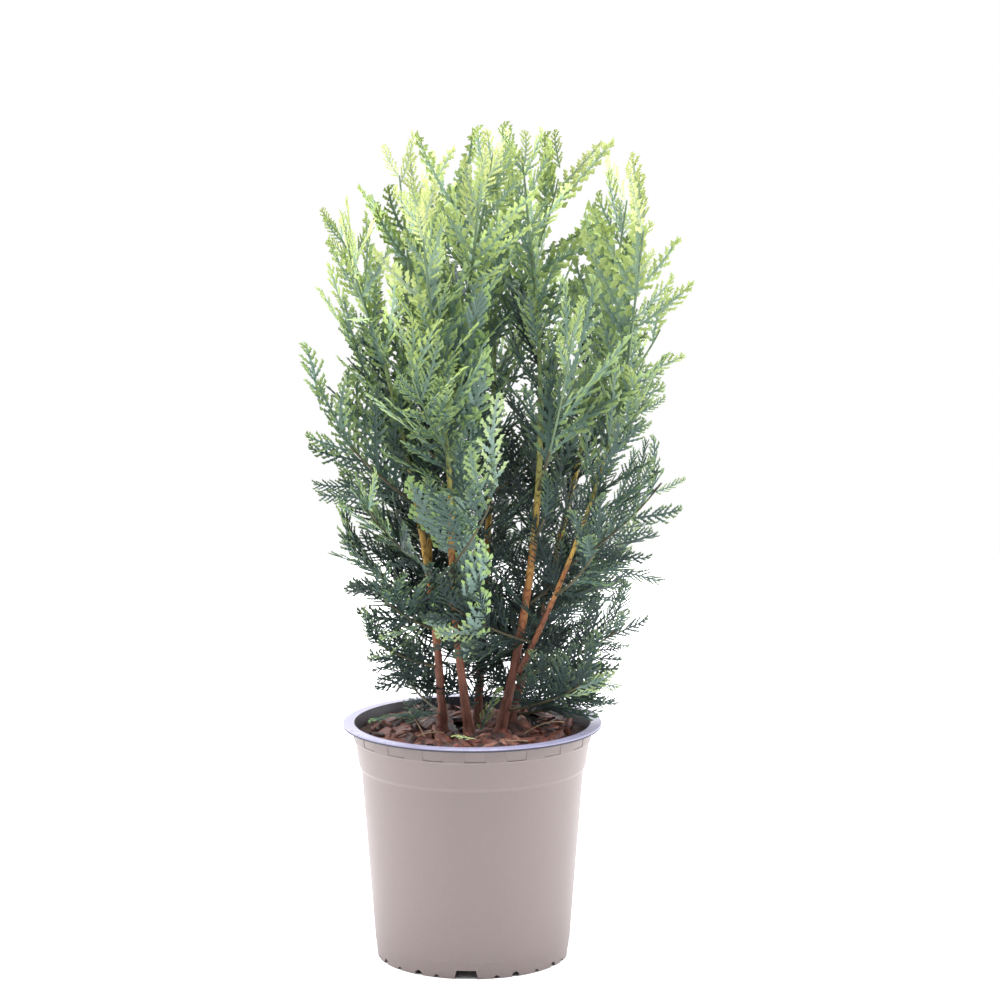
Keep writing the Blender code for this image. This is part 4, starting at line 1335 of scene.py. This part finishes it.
# The tones grow lighter the higher and the further out a spray stands: partly the foliage's own
# colour with its lime young growth, partly painted light on the crown's top and outside and painted
# shade low down and within.
FOLIAGE_TONES = {
    # The inner tone, the darkest, is painted shade inside the crown.
    "inner": ((0.024, 0.045, 0.040), (0.042, 0.074, 0.040), 0.80),
    "shade": ((0.028, 0.052, 0.047), (0.050, 0.088, 0.046), 0.80),
    "deep": ((0.056, 0.102, 0.082), (0.112, 0.176, 0.074), 0.72),
    "sea": ((0.112, 0.186, 0.138), (0.200, 0.288, 0.104), 0.60),
    "fern": ((0.200, 0.298, 0.198), (0.325, 0.422, 0.135), 0.50),
    "fresh": ((0.298, 0.392, 0.256), (0.450, 0.532, 0.190), 0.30),
    "lime": ((0.360, 0.446, 0.290), (0.520, 0.582, 0.235), 0.20),
    "bloom": ((0.205, 0.300, 0.245), (0.325, 0.430, 0.200), 0.60),
    "silver": ((0.210, 0.320, 0.270), (0.330, 0.490, 0.180), 0.66),
}
# The steps and weights below deal out the tones, and with them that painted light and shade.
TONE_STEPS = (("shade", 0.36), ("deep", 0.52), ("sea", 0.70), ("fern", 0.84), ("fresh", 0.95))
HEIGHT_WEIGHT = 0.80
OUTER_WEIGHT = 0.26
TONE_JITTER = 0.09
BLOOM_CHANCE = 0.07
TONE_SHARE = 0.6
LEAF_MOTTLE = 300.0
LEAF_ROUGH = (0.42, 0.68)
LEAF_SPECULAR = 0.35
SHORT_LENGTH = 0.045
LOW_FORM_Z = 0.320
TOP_FORM_Z = 0.430


class Foliage:
    """Points and faces of scaly shoots, with how young each face is."""

    def __init__(self):
        self.points, self.faces, self.young = [], [], []

    def blade(self, stations, tip, half, blunt, pitch):
        """A ridged shoot along its stations (point, aim, normal), with a tooth each side of each;
        its last few stations, a pitch apart, are young."""
        root, count = len(self.points), len(stations)
        self.points += [stations[0][0], tip]
        ends = [place for place, _, _ in stations[1:]] + [tip]
        ridge, before = None, {1: root, -1: root}
        for j, ((place, aim, normal), end) in enumerate(zip(stations, ends)):
            step = (end - place).length
            age = max(0.0, 1 - (count - j - 1) * pitch / YOUNG_REACH)
            across = normal.cross(aim) * half * between(TOOTH_TAPER, j / count)
            peak = self.add_point(place.lerp(end, 0.5) + normal * LEAF_THICK)
            for side in (1, -1):
                lead = aim * (step * (TOOTH_LEAD + side * TOOTH_STAGGER))
                tooth = place + lead + across * side
                rim = [before[side], self.add_point(tooth)]
                if blunt:
                    rim.insert(1, self.add_point(tooth - aim * (step * BLUNT_SHARE)))
                last = j + 1 == count
                neck = root + 1 if last else self.add_point(end + across * (side * NECK))
                rim.append(neck)
                self.add_fan(peak, rim, side, age)
                if ridge is not None:
                    self.add_fan(ridge, [before[side], peak], side, age)
                before[side] = neck
            ridge = peak

    def add_point(self, point):
        self.points.append(point)
        return len(self.points) - 1

    def add_fan(self, centre, rim, side, age):
        """Triangles from a point to each stretch of a rim, all facing up."""
        for a, b in zip(rim, rim[1:]):
            self.faces.append((centre, b, a) if side > 0 else (centre, a, b))
            self.young.append(age)


def shoot_path(length, sweep, cup):
    """A spray's middle shoot, along +X, sweeping towards +Y and cupping towards Z."""
    path = [Vector((0, 0, 0))]
    for k in range(SHOOT_STEPS):
        t = (k + 0.5) / SHOOT_STEPS
        heading, pitch = sweep * t, cup * t
        level = math.cos(pitch)
        ahead = Vector((math.cos(heading) * level, math.sin(heading) * level, math.sin(pitch)))
        path.append(path[-1] + ahead * (length / SHOOT_STEPS))
    return path


def side_reach(share):
    """How long a side shoot is at a share of the spray, as a share of the longest."""
    if share < WIDEST_SHARE:
        return WIDEST_FROM + (1 - WIDEST_FROM) * share / WIDEST_SHARE
    return 1 - (1 - END_SHARE) * (share - WIDEST_SHARE) / (1 - WIDEST_SHARE)


def face_up(ahead, tip):
    """The way a shoot along this direction faces: up the spray's Z, tipped to one side."""
    upward = Vector((0, 0, 1)) - ahead * ahead.z
    upward.normalize()
    return (upward + ahead.cross(upward) * tip).normalized()


def side_shoot(leaves, root, ahead, normal, side, angle, reach, form):
    """A toothed side shoot that curves forward from its spray's middle shoot."""
    across = normal.cross(ahead) * side
    count = max(2, round(reach / form.tooth))
    step = reach / count
    stations, place = [], root
    for j in range(count):
        turn = angle * (1 - SIDE_CURVE * j / count)
        aim = ahead * math.cos(turn) + across * math.sin(turn)
        stations.append((place, aim, normal))
        place = place + aim * step
    leaves.blade(stations, place, form.half, form.blunt, step)


def middle_shoot(leaves, path, length, form):
    """The spray's middle shoot, scaly like the others, to its growing tip."""
    count = int(length / SPINE_STEP)
    stations = []
    for k in range(count):
        point, ahead = path_at(path, k / count)
        stations.append((point, ahead, face_up(ahead, 0.0)))
    half = SPINE_HALF + SPINE_GAIN * form.half
    leaves.blade(stations, path[-1], half, form.blunt, SPINE_STEP)


def make_spray(name, form, rng):
    """A spray as one object: its middle shoot, and side shoots to left and right in turn."""
    length = form.length
    path = shoot_path(length, rng.uniform(*SHOOT_SWEEP), rng.uniform(*SHOOT_CUP))
    leaves = Foliage()
    count = int(2 * (SIDE_SHARES[1] - SIDE_SHARES[0]) * length / form.spacing)
    for k in range(count):
        share = between(SIDE_SHARES, (k + rng.uniform(-SIDE_LOOSE, SIDE_LOOSE)) / count)
        point, ahead = path_at(path, share)
        angle = math.radians(between(form.angles, share))
        angle += rng.uniform(-SIDE_JITTER, SIDE_JITTER)
        reach = form.longest * length * side_reach(share) * rng.uniform(*SIDE_LENGTHS)
        side = 1 if k % 2 else -1
        tipped = face_up(ahead, rng.uniform(-SIDE_TIP, SIDE_TIP))
        side_shoot(leaves, point, ahead, tipped, side, angle, reach, form)
    middle_shoot(leaves, path, length, form)
    spray = new_object(name, leaves.points, leaves.faces)
    set_attribute(spray, "young", "FLOAT", "FACE", leaves.young)
    return spray


def spray_tree():
    """Sets a spray at each point, by its attributes form, turn and size, and colours its tips."""
    inputs = (
        ("Sprays", "NodeSocketCollection"),
        ("Leaf", "NodeSocketMaterial"),
        ("Tip", "NodeSocketMaterial"),
        ("Tip From", "NodeSocketFloat"),
    )
    tree, given, made = new_tree("grow_sprays", inputs)

    def attribute(name, kind):
        node = add_node(tree, "GeometryNodeInputNamedAttribute", data_type=kind)
        node.inputs["Name"].default_value = name
        return next(socket for socket in node.outputs if socket.enabled)

    place = add_node(tree, "GeometryNodeInstanceOnPoints", {"Pick Instance": True})
    turn = add_node(tree, "FunctionNodeEulerToRotation")
    real = add_node(tree, "GeometryNodeRealizeInstances")
    old = add_node(tree, "GeometryNodeSetMaterial")
    tips = add_node(tree, "GeometryNodeSetMaterial")
    younger = add_node(tree, "FunctionNodeCompare", operation="GREATER_THAN")
    tree.links.new(pick_shapes(tree, given, "Sprays"), place.inputs["Instance"])
    tree.links.new(attribute("form", "INT"), place.inputs["Instance Index"])
    tree.links.new(attribute("turn", "FLOAT_VECTOR"), turn.inputs["Euler"])
    tree.links.new(attribute("size", "FLOAT"), place.inputs["Scale"])
    tree.links.new(attribute("young", "FLOAT"), younger.inputs[0])
    join_sockets(
        tree,
        (given, "Geometry", place, "Points"),
        (turn, "Rotation", place, "Rotation"),
        (place, "Instances", real, "Geometry"),
        (real, "Geometry", old, "Geometry"),
        (given, "Leaf", old, "Material"),
        (old, "Geometry", tips, "Geometry"),
        (given, "Tip From", younger, 1),
        (younger, "Result", tips, "Selection"),
        (given, "Tip", tips, "Material"),
        (tips, "Geometry", made, "Geometry"),
    )
    return tree


def leaf_finish(name, colour):
    """A waxy leaf in one plain colour, its gloss uneven."""
    finish = mottled(name, colour, colour, LEAF_MOTTLE, LEAF_ROUGH)
    tree = finish.node_tree
    shader = tree.nodes["Principled BSDF"]
    tree.links.remove(shader.inputs["Base Color"].links[0])
    shader.inputs["Base Color"].default_value = (*colour, 1.0)
    shader.inputs["Specular IOR Level"].default_value = LEAF_SPECULAR
    return finish


def fan_frame(mass, share):
    """A twig's point, direction, and the direction across its fan, at a share of its length."""
    path = mass["path"]
    point, ahead = path_at(path, share)
    chord = path[-1] - path[0]
    level = Vector((chord.x, chord.y, 0))
    level = level.normalized() if level.length > 1e-4 else Vector((1, 0, 0))
    normal = Vector((-level.y, level.x, 0))
    up = ahead.cross(normal)
    across = up * math.cos(mass["twist"]) + normal * math.sin(mass["twist"])
    return point, ahead, square_to(ahead, across)


def fits_crown(point, proud):
    """True inside the crown drawn in or let out by this share, so that its outline is uneven."""
    drawn = Vector((point.x, point.y, point.z + max(1 - proud, 0.0) * PROUD_DROP))
    if drawn.z >= CROWN_TOP:
        return False
    most = proud if drawn.z > PROUD_FROM_Z else min(proud, PROUD_BELOW)
    return crown_share(drawn) <= most


def fouls_rim(root, tip):
    """True if a low spray would run through the pot's rim."""
    low, reach = RIM_TOP + RIM_CLEAR, RIM_TEST_REACH * RIM_INNER_R
    tested = (root.lerp(tip, RIM_TEST_SHARE), tip)
    return any(point.z < low and math.hypot(point.x, point.y) > reach for point in tested)


def fitted(root, aim, across, length, rng):
    """A spray cut to the crown's reach and turned so that it sweeps upward, or None."""
    proud = between(SPRAY_PROUD, rng.random() ** PROUD_POWER)
    while length > SPRAY_SHORTEST and not fits_crown(root + aim * length, proud):
        length *= SPRAY_TRIM
    if length < SPRAY_SHORTEST or fouls_rim(root, root + aim * length):
        return None
    if in_hollow(root + aim * (HOLLOW_SHARE * length)):
        return None
    roll = Matrix.Rotation(rng.uniform(-SPRAY_ROLL, SPRAY_ROLL), 3, aim)
    across = square_to(aim, roll @ across)
    return root, aim, (across if across.z > 0 else -across), length


def mass_sprays(mass, rng):
    """The sprays of one mass, to left and right along its twig, and one at its tip."""
    total = (mass["path"][-1] - mass["path"][0]).length
    for k in range(SPRAYS_PER_MASS):
        place = (k + rng.uniform(*SPRAY_PLACES)) / SPRAYS_PER_MASS
        root, ahead, across = fan_frame(mass, between(SPRAY_SHARES, place))
        angle, side = between(SPRAY_SPREAD, place), 1 if k % 2 else -1
        length = min(between(SPRAY_LENGTHS, place) * total, SPRAY_LONGEST)
        length *= rng.uniform(*SPRAY_SIZES)
        tilt = ahead.cross(across) * rng.uniform(-SPRAY_TILT, SPRAY_TILT)
        aim = ahead * math.cos(angle) + across * (side * math.sin(angle)) + tilt
        yield fitted(root, aim.normalized(), across, length, rng)
    root, _, across = fan_frame(mass, 1 - TIP_SPRAY)
    aim = mass["path"][-1] - root
    yield fitted(root, aim.normalized(), across, min(aim.length, SPRAY_LONGEST), rng)


def bare_front(name, point, aim):
    """True where the stems stand bare: low down, towards the front."""
    off = abs(off_front(math.atan2(aim.y, aim.x)))
    return name in BARE_LIMBS and point.z < BARE_TOP_Z and off < BARE_HALF_WIDTH


def leave_limb(limb, share, out, angle):
    """Where a spray leaves a limb, and the limb's direction, the way out and the spray's aim."""
    root, ahead = path_at(limb["path"], share)
    out = square_to(ahead, out)
    return root, ahead, out, ahead * math.cos(angle) + out * math.sin(angle)


def limb_sprays(name, limb, rng):
    """The sprays that grow straight from a limb, round and round it."""
    for k in range(LIMB_SPRAYS):
        place = (k + rng.uniform(*SPRAY_PLACES)) / LIMB_SPRAYS
        share, angle = between(LIMB_SPRAY_SHARES, place), between(LIMB_SPRAY_SPREAD, place)
        out = ring_point(1, k * GOLDEN_TURN, 0)
        root, ahead, out, aim = leave_limb(limb, share, out, angle)
        if bare_front(name, root, aim):
            continue
        most = LIMB_SPRAY_TOP + LIMB_SPRAY_GAIN * (1 - place)
        length = min(rng.uniform(*LIMB_SPRAY_LENGTHS), most)
        yield fitted(root, aim, ahead.cross(out) + ahead * rng.uniform(-1, 1), length, rng)


def inner_sprays(name, limb, rng):
    """The sprays inside the crown, behind the bare fronts of the stems, dark with painted shade."""
    for k in range(INNER_SPRAYS):
        place = (k + rng.uniform(*SPRAY_PLACES)) / INNER_SPRAYS
        share, angle = between(INNER_SHARES, place), between(INNER_SPREAD, place)
        turn = (k + 0.5) * GOLDEN_TURN
        out = Vector((math.cos(turn), abs(math.sin(turn)), 0))
        root, ahead, out, aim = leave_limb(limb, share, out, angle)
        across = ahead.cross(out) + ahead * rng.uniform(-1, 1)
        yield fitted(root, aim, across, rng.uniform(*INNER_LENGTHS), rng)


def pressed_sprays(limb, rng):
    """The pale sprays that stand upright against the middle stem, flat to the front: one in
    four leans left, the rest right."""
    for k in range(PRESSED_SPRAYS):
        place = (k + rng.uniform(*PRESSED_PLACES)) / PRESSED_SPRAYS
        root, ahead = path_at(limb["path"], between(PRESSED_SHARES, place))
        angle = between(PRESSED_SPREAD, place) * rng.uniform(*PRESSED_TURNS)
        side = -1 if k % PRESSED_LEFT == 1 else 1
        out = Vector((side, -PRESSED_FORWARD, 0)).normalized()
        aim = (ahead * math.cos(angle) + out * math.sin(angle)).normalized()
        across = square_to(aim, Vector((-side, 0, 0)))
        yield root, aim, across, rng.uniform(*PRESSED_LENGTHS)


def tone_of(root, aim, length, rng):
    """The tone dealt to a spray, by its height, how far out it is, and chance: partly the foliage's
    own colour, partly painted light high up and outside and painted shade low down and within.
    """
    middle = root + aim * (TONE_SHARE * length)
    outer = min(crown_share(middle), 1.0) ** 2
    score = HEIGHT_WEIGHT * height_share(middle.z) + OUTER_WEIGHT * outer
    score += rng.uniform(-TONE_JITTER, TONE_JITTER)
    if rng.random() < BLOOM_CHANCE:
        return "bloom"
    return next((name for name, limit in TONE_STEPS if score < limit), "lime")


def form_of(tone, middle_z, length, rng):
    """The form that suits a spray's tone, height and length, and the scale it needs."""
    if tone == "silver":
        kind = "blunt"
    elif length < SHORT_LENGTH:
        kind = "short"
    elif middle_z < LOW_FORM_Z:
        kind = "low"
    else:
        kind = "top" if middle_z > TOP_FORM_Z else "middle"
    index = 0
    for name, form in FORMS.items():
        if name == kind:
            return index + rng.randrange(form.count), length / form.length
        index += form.count


def point_cloud(name, rows):
    """An object with a vertex for each spray, which carries its form, turn and size."""
    places, forms, sizes, turns = zip(*rows)
    cloud = add_solid(name, places, [])
    set_attribute(cloud, "form", "INT", "POINT", forms)
    set_attribute(cloud, "size", "FLOAT", "POINT", sizes)
    set_attribute(cloud, "turn", "FLOAT_VECTOR", "POINT", [v for turn in turns for v in turn])
    return cloud


def plan_sprays():
    """Every spray of the crown: the node it stands for, its place, and its tone if that is set."""
    planned = []
    for order, mass in enumerate(masses):
        rng = random.Random(SPRAY_SEED + order)
        planned += [(mass["name"], spray, None) for spray in mass_sprays(mass, rng)]
    for order, (name, limb) in enumerate(limbs.items()):
        rng = random.Random(SPRAY_SEED + len(masses) + order)
        node = f"foliage_{name}_top"
        planned += [(node, spray, None) for spray in limb_sprays(name, limb, rng)]
        if limb["flare"]:
            # The sprays inside the crown take the inner tone: painted shade.
            planned += [(node, spray, "inner") for spray in inner_sprays(name, limb, rng)]
    rng = random.Random(SPRAY_SEED - 1)
    node = "foliage_middle_top"
    planned += [(node, spray, "silver") for spray in pressed_sprays(limbs["middle"], rng)]
    for start, end, tone in LOOSE_SPRAYS.values():
        aim = Vector(end) - Vector(start)
        across = Vector((0, 0, 1)).cross(aim)
        spray = Vector(start), aim.normalized(), across.normalized(), aim.length
        planned.append((node, spray, tone))
    return [plan for plan in planned if plan[1] is not None]


leaf_forms = bpy.data.collections.new("leaf_forms")
form_rng = random.Random(SPRAY_SEED)
for form in FORMS.values():
    for _ in range(form.count):
        leaf_forms.objects.link(make_spray(f"{len(leaf_forms.objects):02d}", form, form_rng))

dealt = {tone: [] for tone in FOLIAGE_TONES}
stood_for = {tone: set() for tone in FOLIAGE_TONES}
deal_rng = random.Random(SPRAY_SEED)
for node, (root, aim, across, length), set_tone in plan_sprays():
    tone = set_tone or tone_of(root, aim, length, deal_rng)
    form, size = form_of(tone, root.z + 0.5 * aim.z * length, length, deal_rng)
    turn = Matrix((aim, across, aim.cross(across))).transposed().to_euler()
    dealt[tone].append((root, form, size, tuple(turn)))
    stood_for[tone].add(node)

sprays = spray_tree()
for tone, (leaf_colour, tip_colour, tip_from) in FOLIAGE_TONES.items():
    piece = point_cloud(f"leaves_{tone}", dealt[tone])
    leaf = leaf_finish(f"leaf_{tone}", leaf_colour)
    tip = leaf_finish(f"leaf_{tone}_tip", tip_colour)
    grow(piece, sprays, {"Sprays": leaf_forms, "Leaf": leaf, "Tip": tip, "Tip From": tip_from})
    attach(piece, "root")
    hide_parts(*sorted(stood_for[tone]))
discard(leaf_forms.objects)
